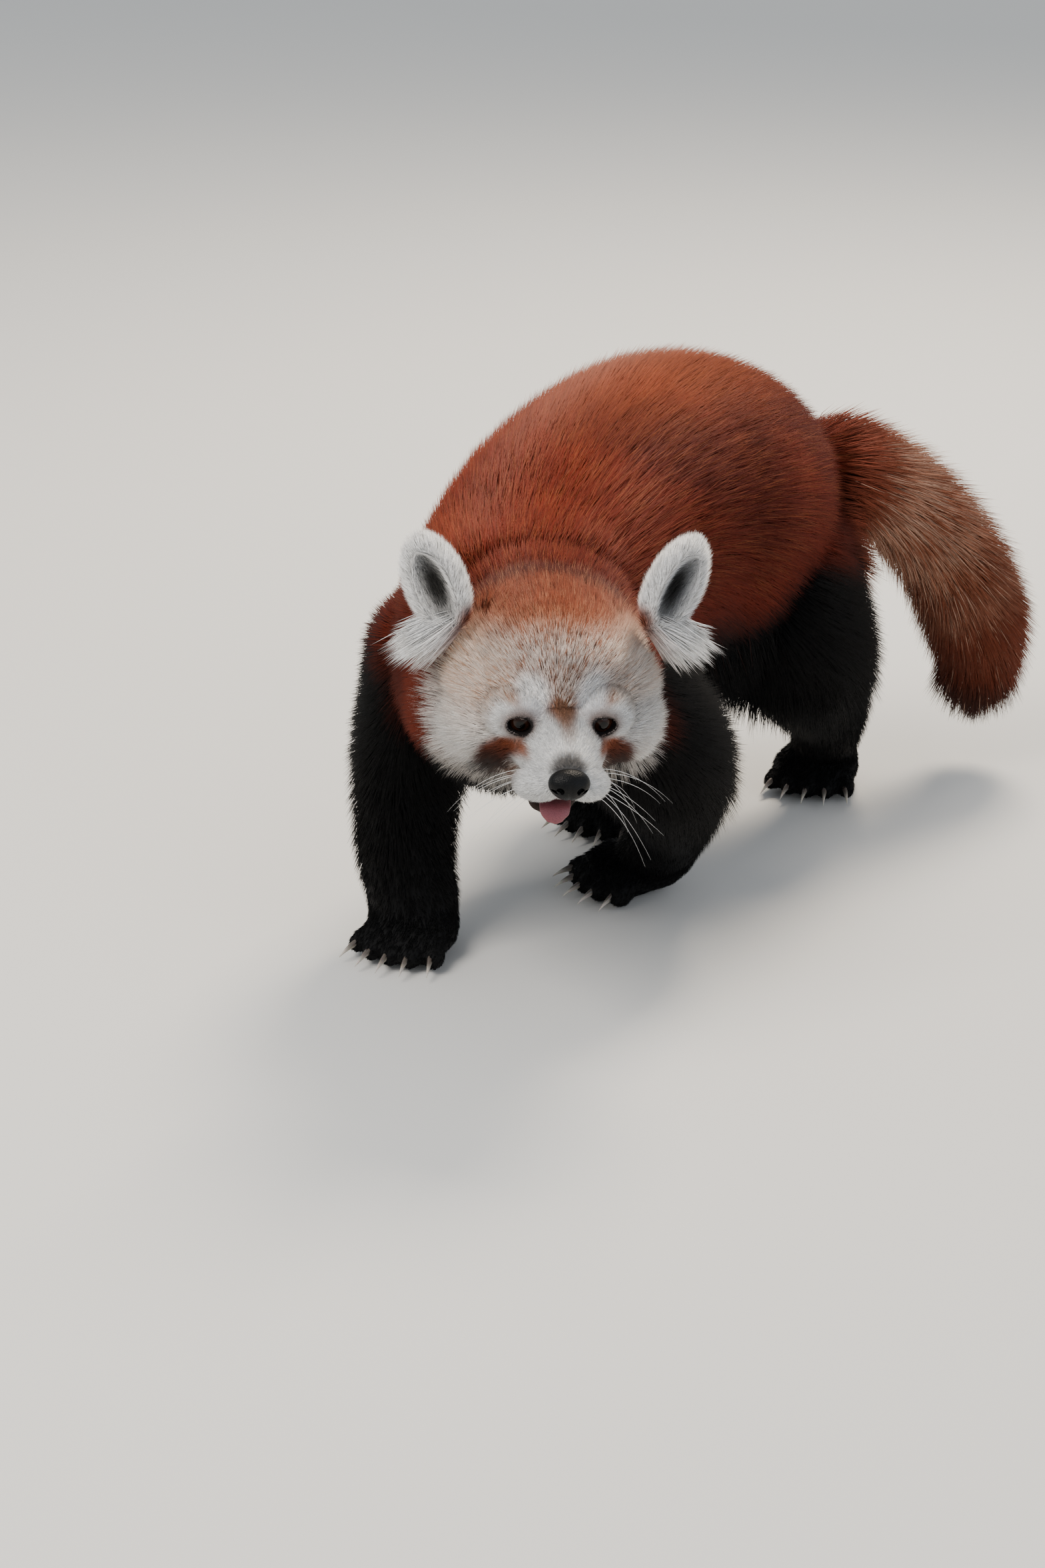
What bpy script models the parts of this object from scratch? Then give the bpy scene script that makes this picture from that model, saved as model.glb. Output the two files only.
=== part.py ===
"""A life-size red panda walking, as a still museum model on its four paws.

Metres, +Z up. The panda walks towards -Y with its left side on +X, and turns its head to its left.
The body is fused from lofted tubes, then parted into named pieces by cuts 0.3 mm wide.
"""

import math
import random

import bmesh
import bpy
from mathutils import Euler, Matrix, Vector
from mathutils.bvhtree import BVHTree

# Driving sizes
GAP = 0.0003
RING_SIDES = 20
STEPS_PER_STATION = 4

# A station is x, y, z and the half-width and half-height of the coat there.
SPINE = [
    (0.032, 0.005, 0.194, 0.052, 0.058),
    (0.014, 0.044, 0.192, 0.078, 0.084),
    (-0.004, 0.100, 0.204, 0.086, 0.098),
    (-0.009, 0.165, 0.222, 0.089, 0.107),
    (-0.002, 0.230, 0.231, 0.090, 0.113),
    (0.010, 0.290, 0.229, 0.090, 0.108),
    (0.023, 0.345, 0.219, 0.076, 0.092),
    (0.034, 0.380, 0.214, 0.050, 0.062),
]
NECK = [
    (0.010, 0.060, 0.202, 0.066, 0.070),
    (0.040, 0.028, 0.210, 0.062, 0.066),
    (0.066, -0.004, 0.212, 0.058, 0.062),
]
TAIL = [
    (0.034, 0.360, 0.238, 0.043, 0.049),
    (0.050, 0.388, 0.243, 0.042, 0.046),
    (0.072, 0.420, 0.231, 0.040, 0.041),
    (0.098, 0.453, 0.203, 0.040, 0.041),
    (0.120, 0.477, 0.167, 0.041, 0.041),
    (0.135, 0.491, 0.128, 0.042, 0.042),
    (0.141, 0.497, 0.092, 0.039, 0.039),
    (0.141, 0.498, 0.064, 0.028, 0.028),
]
TAIL_JOINED_STATIONS = 6

# Seams between pieces: a point, and the way across
NECK_SEAM = (Vector((0.036, 0.028, 0.200)), Vector((0.60, -0.80, 0.00)).normalized())
RUMP_SEAM = (Vector((0.055, 0.398, 0.200)), Vector((0.45, 0.85, 0.15)).normalized())
TAIL_SEAMS = (
    (Vector((0.102, 0.458, 0.194)), Vector((0.5, 0.5, -0.7)).normalized()),
    (Vector((0.136, 0.492, 0.120)), Vector((0.1, 0.1, -1.0)).normalized()),
)
TAIL_RING_SHARES = ((0, 3), (3, 5), (5, 8))
TAIL_GAP = 0.0007
# Each leg runs from inside the body to just above its paw.
LEGS = {
    "front_leg_right": [
        (-0.046, 0.060, 0.190, 0.044, 0.052),
        (-0.060, 0.048, 0.122, 0.038, 0.042),
        (-0.060, 0.038, 0.068, 0.036, 0.036),
        (-0.052, 0.034, 0.028, 0.035, 0.035),
    ],
    "front_leg_left": [
        (0.052, 0.078, 0.185, 0.048, 0.054),
        (0.083, 0.113, 0.122, 0.041, 0.047),
        (0.070, 0.158, 0.068, 0.031, 0.035),
        (0.044, 0.181, 0.028, 0.031, 0.032),
    ],
    "hind_leg_right": [
        (-0.036, 0.310, 0.200, 0.054, 0.072),
        (-0.050, 0.288, 0.128, 0.045, 0.052),
        (-0.042, 0.300, 0.064, 0.031, 0.036),
        (-0.036, 0.302, 0.030, 0.029, 0.032),
    ],
    "hind_leg_left": [
        (0.048, 0.333, 0.195, 0.049, 0.070),
        (0.073, 0.340, 0.128, 0.048, 0.055),
        (0.073, 0.388, 0.068, 0.032, 0.037),
        (0.061, 0.412, 0.030, 0.030, 0.031),
    ],
}
# A paw is its ball's x and y, its turn to the left in degrees, and its length behind the ball.
PAWS = {
    "front_leg_right": (-0.045, 0.022, 2.0, 0.016),
    "front_leg_left": (0.026, 0.174, -32.0, 0.018),
    "hind_leg_right": (-0.034, 0.262, -4.0, 0.044),
    "hind_leg_left": (0.059, 0.404, 12.0, 0.030),
}
PAW_HALF_WIDTH = 0.034
PAW_HALF_HEIGHT = 0.019
PAW_CUT_HEIGHT = 0.032
TOES = 5
TOE_RADIUS = 0.0078
CLAW_LENGTH = 0.0165
CLAW_PITCH = math.radians(96)
CLAW_BEND = 0.0045
CLAW_RADIUS = 0.0027

# Each leg is cut off by the top of a block: lowest x and y, highest x and y,
# the height of the cut in the middle, and how far it rises towards the outside per metre.
LEG_CUTS = {
    "front_leg_right": (-0.130, -0.040, 0.000, 0.105, 0.135, -0.55),
    "front_leg_left": (0.002, 0.045, 0.150, 0.240, 0.135, 0.55),
    "hind_leg_right": (-0.130, 0.212, -0.001, 0.352, 0.135, -0.60),
    "hind_leg_left": (0.001, 0.268, 0.125, 0.462, 0.132, 0.45),
}

# The head's own axes start midway between the eyes: x to its left, y back, z up.
EYE_MIDDLE = Vector((0.096, -0.040, 0.202))
HEAD_TURN = math.radians(37)
HEAD_NOD = math.radians(3)
HEAD_ROLL = math.radians(3)
HEAD_TURNS = Euler((HEAD_NOD, HEAD_ROLL, HEAD_TURN), "YXZ")
HEAD_PLACE = Matrix.Translation(EYE_MIDDLE) @ HEAD_TURNS.to_matrix().to_4x4()
EYE_SPACING = 0.045
EYE_RADIUS = 0.0080
EYE_SINK = 0.0048
EYE_TURN = math.radians(16)
LID_RADIUS = EYE_RADIUS + 0.0016
SLIT_RADII = (0.0068, 0.0060, 0.0054)
MUZZLE = [
    (0, 0.014, -0.013, 0.033, 0.027),
    (0, -0.014, -0.0165, 0.0245, 0.0195),
    (0, -0.0295, -0.0200, 0.0185, 0.0145),
]
NOSE_CENTRE = (0.0, -0.0410, -0.0203)
NOSE_RADII = (0.0118, 0.0085, 0.0090)
NECK_SEAM_BACK = 0.074

# How far the solid core of the coat lies inside its tips
TAIL_CORE_DEPTH = 0.0125
TAIL_CORE_LEAST = 0.45
BODY_CORE_DEPTH = 0.0005
LEG_CORE_DEPTH = 0.0015

# Fineness of the fused skins, and about how many triangles each keeps
BODY_VOXEL = 0.0045
HEAD_VOXEL = 0.0028
BODY_FACES = 3200
COATED_BODY_FACES = 5450
TAIL_FACES = 1080
HEAD_FACES = 1200
COATED_HEAD_FACES = 2350

# Locks of long coat: length, half-width and half-thickness, and the height of the tips over the core.
# The three factors for each are at the lock's root, middle and shoulder; it ends in a point.
SEED = 7
RAY_START = 0.14
LOCK_SINK = 0.0045
LOCK_WIDTHS = (0.80, 1.0, 0.74)
LOCK_THICKNESSES = (0.90, 1.0, 0.72)
LOCK_HEIGHTS = (0.22, 0.66, 1.0)
TAIL_LOCK = (0.064, 0.0140, 0.0034, 0.0170)
TAIL_RINGS = 8
TAIL_LOCKS_PER_RING = 7
BODY_LOCK = (0.074, 0.0165, 0.0032, 0.0056)
BODY_ROWS = 7
BODY_LOCKS_PER_ROW = 7
BODY_LOCK_REACH = math.radians(122)
LEG_LOCK = (0.040, 0.0105, 0.0028, 0.0046)
EAR_LOCK = (0.034, 0.0062, 0.0015, 0)
# A row of the ruff: its lock, its depth behind the eyes, how far its locks turn back,
# the degrees from the crown where it starts and ends, and its locks on each side
RUFF_ROWS = (
    ((0.028, 0.0092, 0.0022, 0), 0.036, 1.0, 90, 148, 5),
    ((0.040, 0.0112, 0.0025, 0), 0.056, 0.7, 80, 154, 6),
)
UNDER_CHIN_TURN = 0.024
EAR_TUFTS = 5
LEG_LOCK_HEIGHTS = (0.125, 0.090)

# Colour and roughness of each kind of piece
FINISHES = {
    "head": ((0.68, 0.42, 0.26), 0.9),
    "jaw": ((0.80, 0.76, 0.70), 0.9),
    "tongue": ((0.62, 0.28, 0.28), 0.35),
    "nose": ((0.02, 0.02, 0.025), 0.4),
    "eye": ((0.03, 0.015, 0.008), 0.08),
    "ear": ((0.85, 0.80, 0.74), 0.9),
    "neck": ((0.36, 0.12, 0.05), 0.9),
    "torso": ((0.38, 0.11, 0.04), 0.9),
    "tail": ((0.45, 0.15, 0.06), 0.9),
    "front": ((0.02, 0.018, 0.018), 0.9),
    "hind": ((0.02, 0.018, 0.018), 0.9),
}

UP = Vector((0, 0, 1))
RANDOM = random.Random(SEED)


def clear_scene():
    """Starts from an empty scene."""
    for obj in list(bpy.data.objects):
        bpy.data.objects.remove(obj, do_unlink=True)


def new_collection(name):
    """A collection in the scene."""
    collection = bpy.data.collections.new(name)
    bpy.context.scene.collection.children.link(collection)
    return collection


def material(name, colour, roughness):
    """A plain material for one piece."""
    made = bpy.data.materials.new(name)
    made.use_nodes = True
    shader = made.node_tree.nodes["Principled BSDF"]
    shader.inputs["Base Color"].default_value = (*colour, 1.0)
    shader.inputs["Roughness"].default_value = roughness
    made.diffuse_color = (*colour, 1.0)
    return made


def object_from(bm, name, collection):
    """Turns a finished mesh under construction into an object."""
    mesh = bpy.data.meshes.new(name)
    bm.to_mesh(mesh)
    bm.free()
    obj = bpy.data.objects.new(name, mesh)
    collection.objects.link(obj)
    return obj


def smooth_line(stations, steps):
    """Points read from a smooth curve through the stations, sizes included."""
    ends = [2 * a - b for a, b in ((Vector(stations[0]), Vector(stations[1])),)]
    last = 2 * Vector(stations[-1]) - Vector(stations[-2])
    knots = ends + [Vector(s) for s in stations] + [last]
    line = []
    for i in range(1, len(knots) - 2):
        before, start, end, after = knots[i - 1 : i + 3]
        for step in range(steps):
            t = step / steps
            line.append(
                0.5
                * (
                    2 * start
                    + (end - before) * t
                    + (2 * before - 5 * start + 4 * end - after) * t**2
                    + (3 * start - before - 3 * end + after) * t**3
                )
            )
    line.append(Vector(stations[-1]))
    return line


def ring_frame(centre, tangent, half_width, half_height):
    """A circle's matrix: x along the width, y along the height, z along the tube."""
    side = (Vector((1, 0, 0)) - tangent * tangent.x).normalized()
    up = tangent.cross(side)
    turn = Matrix((side, up, tangent)).transposed().to_4x4()
    return Matrix.Translation(centre) @ turn @ Matrix.Diagonal((half_width, half_height, 1, 1))


def loft(stations, name, collection, steps=STEPS_PER_STATION, sides=RING_SIDES):
    """A closed tube with oval rings through the stations and a rounded cap at each end."""
    line = smooth_line(stations, steps)
    points = [Vector(p[:3]) for p in line]
    rings = []
    for i, p in enumerate(line):
        tangent = (points[min(i + 1, len(points) - 1)] - points[max(i - 1, 0)]).normalized()
        rings.append((points[i], tangent, p[3], p[4]))
    for end, direction in ((rings[0], -1), (rings[-1], 1)):
        centre, tangent, half_width, half_height = end
        reach = min(half_width, half_height)
        for degrees in (28, 52, 74):
            angle = math.radians(degrees)
            ring = (
                centre + tangent * direction * reach * math.sin(angle),
                tangent,
                half_width * math.cos(angle),
                half_height * math.cos(angle),
            )
            rings.insert(0, ring) if direction < 0 else rings.append(ring)
    bm = bmesh.new()
    loops = []
    for i, ring in enumerate(rings):
        made = bmesh.ops.create_circle(
            bm, cap_ends=i in (0, len(rings) - 1), segments=sides, radius=1, matrix=ring_frame(*ring)
        )
        corners = set(made["verts"])
        loops.append([e for e in bm.edges if e.verts[0] in corners and e.verts[1] in corners])
    for low, high in zip(loops, loops[1:]):
        bmesh.ops.bridge_loops(bm, edges=low + high)
    bmesh.ops.recalc_face_normals(bm, faces=bm.faces)
    return object_from(bm, name, collection)


def blob(centre, radii, name, collection, turn=(0, 0, 0), segments=24, rings=16):
    """An ellipsoid."""
    bm = bmesh.new()
    place = Matrix.Translation(centre) @ Euler(turn).to_matrix().to_4x4() @ Matrix.Diagonal((*radii, 1))
    bmesh.ops.create_uvsphere(bm, u_segments=segments, v_segments=rings, radius=1, matrix=place)
    return object_from(bm, name, collection)


def box(low, high, name, collection):
    """A box between two corners."""
    bm = bmesh.new()
    low, high = Vector(low), Vector(high)
    place = Matrix.Translation((low + high) / 2) @ Matrix.Diagonal((*(high - low), 1))
    bmesh.ops.create_cube(bm, size=1, matrix=place)
    return object_from(bm, name, collection)


def applied(obj):
    """Replaces the object's mesh by what its modifiers make of it."""
    bpy.context.view_layer.update()
    graph = bpy.context.evaluated_depsgraph_get()
    mesh = bpy.data.meshes.new_from_object(obj.evaluated_get(graph))
    obj.modifiers.clear()
    obj.data = mesh
    return obj


def thin_to(obj, faces):
    """Leaves about this many triangles."""
    thin = obj.modifiers.new("thin", "DECIMATE")
    triangles = sum(len(face.vertices) - 2 for face in obj.data.polygons)
    thin.ratio = min(1.0, faces / triangles)
    thin.use_collapse_triangulate = True
    return applied(obj)


def fuse(pieces, name, collection, voxel, smoothing, faces):
    """Joins closed pieces into one smooth skin with about this many triangles."""
    bm = bmesh.new()
    for piece in pieces:
        bm.from_mesh(piece.data)
        bpy.data.objects.remove(piece)
    obj = object_from(bm, name, collection)
    remesh = obj.modifiers.new("fuse", "REMESH")
    remesh.mode = "VOXEL"
    remesh.voxel_size = voxel
    relax = obj.modifiers.new("relax", "SMOOTH")
    relax.factor = 0.5
    relax.iterations = smoothing
    applied(obj)
    thin = obj.modifiers.new("thin", "DECIMATE")
    thin.ratio = min(1.0, faces / (2 * len(obj.data.polygons)))
    thin.use_collapse_triangulate = True
    return applied(obj)


def combine(obj, others, operation):
    """One Boolean on a collection of closed meshes, which are removed afterwards."""
    tools = bpy.data.collections.new("tools")
    for other in others:
        for owner in list(other.users_collection):
            owner.objects.unlink(other)
        tools.objects.link(other)
    cut = obj.modifiers.new("combine", "BOOLEAN")
    cut.operation = operation
    cut.solver = "MANIFOLD"
    cut.operand_type = "COLLECTION"
    cut.collection = tools
    applied(obj)
    for other in list(tools.objects):
        bpy.data.objects.remove(other)
    bpy.data.collections.remove(tools)
    return keep_largest(obj)


def keep_largest(obj):
    """Drops every closed surface but the largest, and lifts out the zero-area faces."""
    bm = bmesh.new()
    bm.from_mesh(obj.data)
    bmesh.ops.dissolve_degenerate(bm, dist=1e-6, edges=bm.edges)
    left = set(bm.verts)
    groups = []
    while left:
        stack = [left.pop()]
        group = set(stack)
        while stack:
            for edge in stack.pop().link_edges:
                for vert in edge.verts:
                    if vert in left:
                        left.discard(vert)
                        group.add(vert)
                        stack.append(vert)
        groups.append(group)
    groups.sort(key=lambda g: sum(f.calc_area() for v in g for f in v.link_faces))
    for group in groups[:-1]:
        bmesh.ops.delete(bm, geom=list(group), context="VERTS")
    bmesh.ops.triangulate(bm, faces=bm.faces)
    bm.to_mesh(obj.data)
    bm.free()
    return obj


def copy_of(obj, name, collection):
    """A separate copy of the object and its mesh."""
    twin = bpy.data.objects.new(name, obj.data.copy())
    collection.objects.link(twin)
    return twin


def grown(obj, by=GAP):
    """A copy swollen along its normals, to cut a neighbour that leaves the gap."""
    twin = copy_of(obj, obj.name + "_cutter", CUTTERS)
    swell = twin.modifiers.new("swell", "DISPLACE")
    swell.strength = by
    swell.mid_level = 0.0
    return applied(twin)


def trim(obj, point, normal):
    """Cuts off all that lies beyond the plane on its normal's side."""
    normal = Vector(normal).normalized()
    turn = normal.to_track_quat("Z", "Y").to_matrix().to_4x4()
    bm = bmesh.new()
    bmesh.ops.create_cube(bm, size=2, matrix=Matrix.Translation(Vector(point) + normal) @ turn)
    return combine(obj, [object_from(bm, "slab", CUTTERS)], "DIFFERENCE")


def thinner(stations, depth):
    """The stations of the solid core, this far inside the tips of the coat."""
    return [(*s[:3], s[3] - depth, s[4] - depth) for s in stations]


def tail_core():
    """The tail's stations without the depth of its locks, which grows from the rump on."""
    core = []
    for i, station in enumerate(TAIL):
        depth = TAIL_CORE_DEPTH * min(1, 0.2 + 0.27 * i)
        core.append((*station[:3], *(max(r - depth, r * TAIL_CORE_LEAST) for r in station[3:])))
    return core


def way_along(stations):
    """The way of the nearest stretch of the smooth line through the stations."""
    points = [Vector(p[:3]) for p in smooth_line(stations, 6)]

    def way(place):
        nearest = min(range(len(points) - 1), key=lambda i: (points[i] - place).length_squared)
        return (points[nearest + 1] - points[nearest]).normalized()

    return way


def root_from(surface, stations, along, degrees):
    """Where a ray from the smooth line meets the surface: 0 degrees is up, 90 is the left side."""
    line = smooth_line(stations, 8)
    place = along * (len(line) - 1)
    i = min(int(place), len(line) - 2)
    centre = Vector(line[i][:3]).lerp(Vector(line[i + 1][:3]), place - i)
    tangent = (Vector(line[i + 1][:3]) - Vector(line[i][:3])).normalized()
    up = (UP - tangent * tangent.z).normalized()
    ray = Matrix.Rotation(math.radians(degrees), 3, tangent) @ up
    return surface.ray_cast(centre + ray * RAY_START, -ray)[0]


def surface_of(objects):
    """One searchable surface of several objects."""
    bm = bmesh.new()
    for obj in objects:
        bm.from_mesh(obj.data)
    tree = BVHTree.FromBMesh(bm)
    bm.free()
    return tree


def lock_body(centres, normals, half_width, half_thickness):
    """A closed body with a lens-shaped section that tapers to a point along the centres."""
    last = len(centres) - 1
    bm = bmesh.new()
    bmesh.ops.create_cone(bm, cap_ends=True, segments=4, radius1=1, radius2=0, depth=1)
    long_edges = [e for e in bm.edges if abs(e.verts[0].co.z - e.verts[1].co.z) > 0.5]
    bmesh.ops.subdivide_edges(bm, edges=long_edges, cuts=last - 1)
    for vert in bm.verts:
        station = round((vert.co.z + 0.5) * last)
        reach = 1 - station / last
        across, through = (vert.co.x / reach, vert.co.y / reach) if reach > 0.01 else (0, 0)
        along = (centres[min(station + 1, last)] - centres[max(station - 1, 0)]).normalized()
        side = along.cross(normals[station]).normalized()
        wide = half_width * LOCK_WIDTHS[min(station, last - 1)]
        thick = half_thickness * LOCK_THICKNESSES[min(station, last - 1)]
        vert.co = centres[station] + side * across * wide + side.cross(along) * through * thick
    bmesh.ops.triangulate(bm, faces=bm.faces)
    bmesh.ops.recalc_face_normals(bm, faces=bm.faces)
    return object_from(bm, "lock", WORK)


def lock(surface, root, lie, size, spread=0.0):
    """A flat tapered lock rooted in the surface, which it follows while it rises to its tip.

    lie gives the way the hair lies at a point, and spread turns the lock sideways in radians.
    size is a length, a half-width, a half-thickness and the height of the tip.
    """
    length, half_width, half_thickness, height = size
    point, normal, _, _ = surface.find_nearest(root)
    step = length / len(LOCK_HEIGHTS)
    centres = [point - normal * LOCK_SINK]
    normals = [normal]
    for i, rise in enumerate(LOCK_HEIGHTS):
        way = lie(point)
        way = (way - normal * way.dot(normal)).normalized()
        way = Matrix.Rotation(spread * (1 - 0.5 * i), 3, normal) @ way
        ahead = point + way * step
        found, there, _, distance = surface.find_nearest(ahead)
        if distance < step * 0.8:
            point, normal = found, there
        else:
            point = ahead
        centres.append(point + normal * height * rise)
        normals.append(normal)
    return lock_body(centres, normals, half_width, half_thickness)


def free_lock(root, normal, way, size, droop):
    """A flat tapered lock that stands free of the surface and bends by droop at each step."""
    length, half_width, half_thickness, _ = size
    step = length / len(LOCK_HEIGHTS)
    way = way.normalized()
    centres = [root - way * LOCK_SINK]
    for _ in LOCK_HEIGHTS:
        centres.append(centres[-1] + way * step)
        way = (way + droop).normalized()
    return lock_body(centres, [normal] * len(centres), half_width, half_thickness)


def varied(size, amount=0.12):
    """A lock's size made a little longer or shorter."""
    factor = 1 + RANDOM.uniform(-amount, amount)
    return (size[0] * factor, size[1] * factor, size[2], size[3] * RANDOM.uniform(0.92, 1.04))


def tail_locks(surface, first, last):
    """Rings of locks down the tail, each ring half a lock round from the one before."""
    along_tail = way_along(TAIL)
    locks = []
    for ring in range(first, last):
        along = 0.24 + 0.66 * ring / (TAIL_RINGS - 1)
        count = TAIL_LOCKS_PER_RING - (2 if ring > TAIL_RINGS - 3 else 0)
        for i in range(count):
            turn = 360 * (i + ring % 2 / 2) / count + RANDOM.uniform(-5, 5)
            root = root_from(surface, TAIL, along + RANDOM.uniform(-0.008, 0.008), turn)
            if root:
                narrow = min(1, 1.5 - 0.85 * along)
                length, wide, thick, high = varied(TAIL_LOCK)
                size = (length, wide * narrow, thick, high)
                locks.append(lock(surface, root, along_tail, size, RANDOM.uniform(-0.12, 0.12)))
    return locks


def torso_locks(surface):
    """Rows of locks lying back and down the flanks like tiles."""
    along_spine = way_along(SPINE)

    def lie(place):
        below = max(0.0, 0.30 - place.z)
        return along_spine(place) - UP * below * 3.2

    locks = []
    for row in range(BODY_ROWS):
        along = 0.04 + 0.82 * row / (BODY_ROWS - 1)
        for i in range(BODY_LOCKS_PER_ROW):
            place = (i + 0.5 + (row % 2 - 0.5) * 0.5) / BODY_LOCKS_PER_ROW * 2 - 1
            turn = math.degrees(BODY_LOCK_REACH) * place + RANDOM.uniform(-3, 3)
            root = root_from(surface, SPINE, along + RANDOM.uniform(-0.015, 0.015), turn)
            if root:
                locks.append(lock(surface, root, lie, varied(BODY_LOCK), RANDOM.uniform(-0.15, 0.15)))
    return locks


def leg_locks(surface):
    """Feathering down the back and outer side of each leg."""
    locks = []
    for leg, stations in LEGS.items():
        outward = -1 if "right" in leg else 1
        for ring, height in enumerate(LEG_LOCK_HEIGHTS):
            middle = min(stations, key=lambda s: abs(s[2] - height))
            for degrees in (-52, 0, 52):
                turn = math.radians(degrees + 26 * (ring % 2))
                ray = Vector((outward * math.sin(turn), math.cos(turn), 0))
                centre = Vector((middle[0], middle[1], height))
                root = surface.ray_cast(centre + ray * 0.10, -ray)[0]
                if root:
                    size = varied(LEG_LOCK)
                    locks.append(lock(surface, root, lambda place: -UP, size, RANDOM.uniform(-0.15, 0.15)))
    return locks


def ruff_locks(surface):
    """Fans of locks round the sides and underside of the face: the cheeks and the ruff behind."""
    turned = HEAD_PLACE.to_3x3()
    locks = []
    for size, depth, backward, first, last, count in RUFF_ROWS:
        for side in (-1, 1):
            for i in range(count):
                degrees = first + (last - first) * i / (count - 1) + RANDOM.uniform(-3, 3)
                turn = math.radians(degrees)
                out = Vector((side * math.sin(turn), 0, math.cos(turn)))
                centre = HEAD_PLACE @ Vector((0, depth, -0.006))
                ray = turned @ out
                root, normal, _, _ = surface.ray_cast(centre + ray * RAY_START, -ray)
                if root:
                    way = turned @ (out + Vector((0, backward + max(0, degrees - 125) * UNDER_CHIN_TURN, 0)))
                    locks.append(free_lock(root, normal, way, varied(size), -UP * 0.14))
    return locks


def ear_tufts(side):
    """Long tufts that hang outwards and down from the outer foot of the ear."""
    tufts = []
    for i in range(EAR_TUFTS):
        root = Vector((side * (0.0650 + 0.0030 * i), 0.053 + 0.004 * (i % 2), 0.031 + 0.0042 * i))
        way = Vector((side * (0.48 + 0.08 * i), 0.15, -0.90 + 0.12 * i))
        normal = Vector((side * 0.25, -1, 0.2))
        tufts.append(free_lock(root, normal, way, varied(EAR_LOCK), -UP * 0.25))
    return tufts


def leg_block(leg, grow, name):
    """The block that holds one leg, with the sloping top where the leg leaves the body."""
    low_x, low_y, high_x, high_y, height, slope = LEG_CUTS[leg]
    block = box(
        (low_x - grow, low_y - grow, -0.05), (high_x + grow, high_y + grow, height + grow), name, CUTTERS
    )
    middle = (low_x + high_x) / 2
    for vert in block.data.vertices:
        if vert.co.z > 0:
            vert.co.z += (vert.co.x - middle) * slope
    return block


def placed(obj):
    """Moves what was made in the head's own axes to the head's place."""
    obj.data.transform(HEAD_PLACE)
    return obj


def make_head_forms():
    """The skull, brow, cheeks and muzzle, in the head's own axes."""
    forms = [
        blob((0, 0.050, 0.014), (0.057, 0.055, 0.050), "cranium", WORK),
        blob((0, 0.033, -0.002), (0.050, 0.035, 0.037), "brow", WORK),
        blob((0, 0.025, -0.015), (0.054, 0.030, 0.029), "middle_face", WORK),
        loft(MUZZLE, "muzzle", WORK),
        loft([(0, 0.060, 0.010, 0.060, 0.054), (0, 0.105, 0.012, 0.064, 0.058)], "nape", WORK),
    ]
    for side in (-1, 1):
        forms.append(blob((side * 0.035, 0.036, -0.013), (0.031, 0.035, 0.031), "cheek", WORK))
        forms.append(blob((side * 0.0115, -0.0275, -0.0255), (0.0135, 0.0145, 0.0105), "pad", WORK))
    return forms


def eye_centre(side):
    """The middle of an eyeball in the head's own axes."""
    return Vector((side * EYE_SPACING / 2, EYE_SINK, 0))


def make_head(body):
    """The head with its ruff, lids and eye openings."""
    head = placed(fuse(make_head_forms(), "head", PANDA, HEAD_VOXEL, 7, HEAD_FACES))
    back = HEAD_PLACE.to_3x3() @ Vector((0, 1, 0))
    trim(head, HEAD_PLACE @ Vector((0, NECK_SEAM_BACK - GAP, 0)), back)
    combine(head, ruff_locks(surface_of([head, body])), "UNION")
    thin_to(head, COATED_HEAD_FACES)
    lids = []
    slits = []
    for side in (-1, 1):
        turn = Euler((math.radians(90), 0, side * EYE_TURN))
        lids.append(placed(blob(eye_centre(side), (LID_RADIUS,) * 3, "lid", WORK, turn, 12, 8)))
        front = eye_centre(side) + Vector((side * 0.0022, -EYE_RADIUS, 0))
        slits.append(placed(blob(front, SLIT_RADII, "slit", CUTTERS, (0, 0, side * EYE_TURN), 12, 8)))
    combine(head, lids, "UNION")
    return combine(head, slits, "DIFFERENCE")


def make_jaw():
    """The lower jaw, slightly open."""
    stations = [
        (0, 0.022, -0.0385, 0.026, 0.013),
        (0, 0.004, -0.0405, 0.0175, 0.0090),
        (0, -0.0195, -0.0405, 0.0115, 0.0062),
    ]
    return placed(loft(stations, "jaw", PANDA, 2, 10))


def make_tongue():
    """A thin tongue that hangs over the lower lip."""
    stations = [
        (0, 0.008, -0.0330, 0.0085, 0.0022),
        (-0.001, -0.015, -0.0335, 0.0085, 0.0022),
        (-0.003, -0.0275, -0.0362, 0.0082, 0.0020),
        (-0.004, -0.0335, -0.0430, 0.0068, 0.0018),
    ]
    return placed(loft(stations, "tongue", PANDA, 2, 8))


def make_nose():
    """The nose pad with its two nostrils."""
    nose = blob(NOSE_CENTRE, NOSE_RADII, "nose", PANDA, segments=14, rings=9)
    nostrils = []
    for side in (-1, 1):
        centre = Vector(NOSE_CENTRE) + Vector((side * 0.0060, -0.0085, -0.0005))
        nostrils.append(blob(centre, (0.0026, 0.0035, 0.0020), "nostril", CUTTERS, segments=8, rings=6))
    return placed(combine(nose, nostrils, "DIFFERENCE"))


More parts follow.
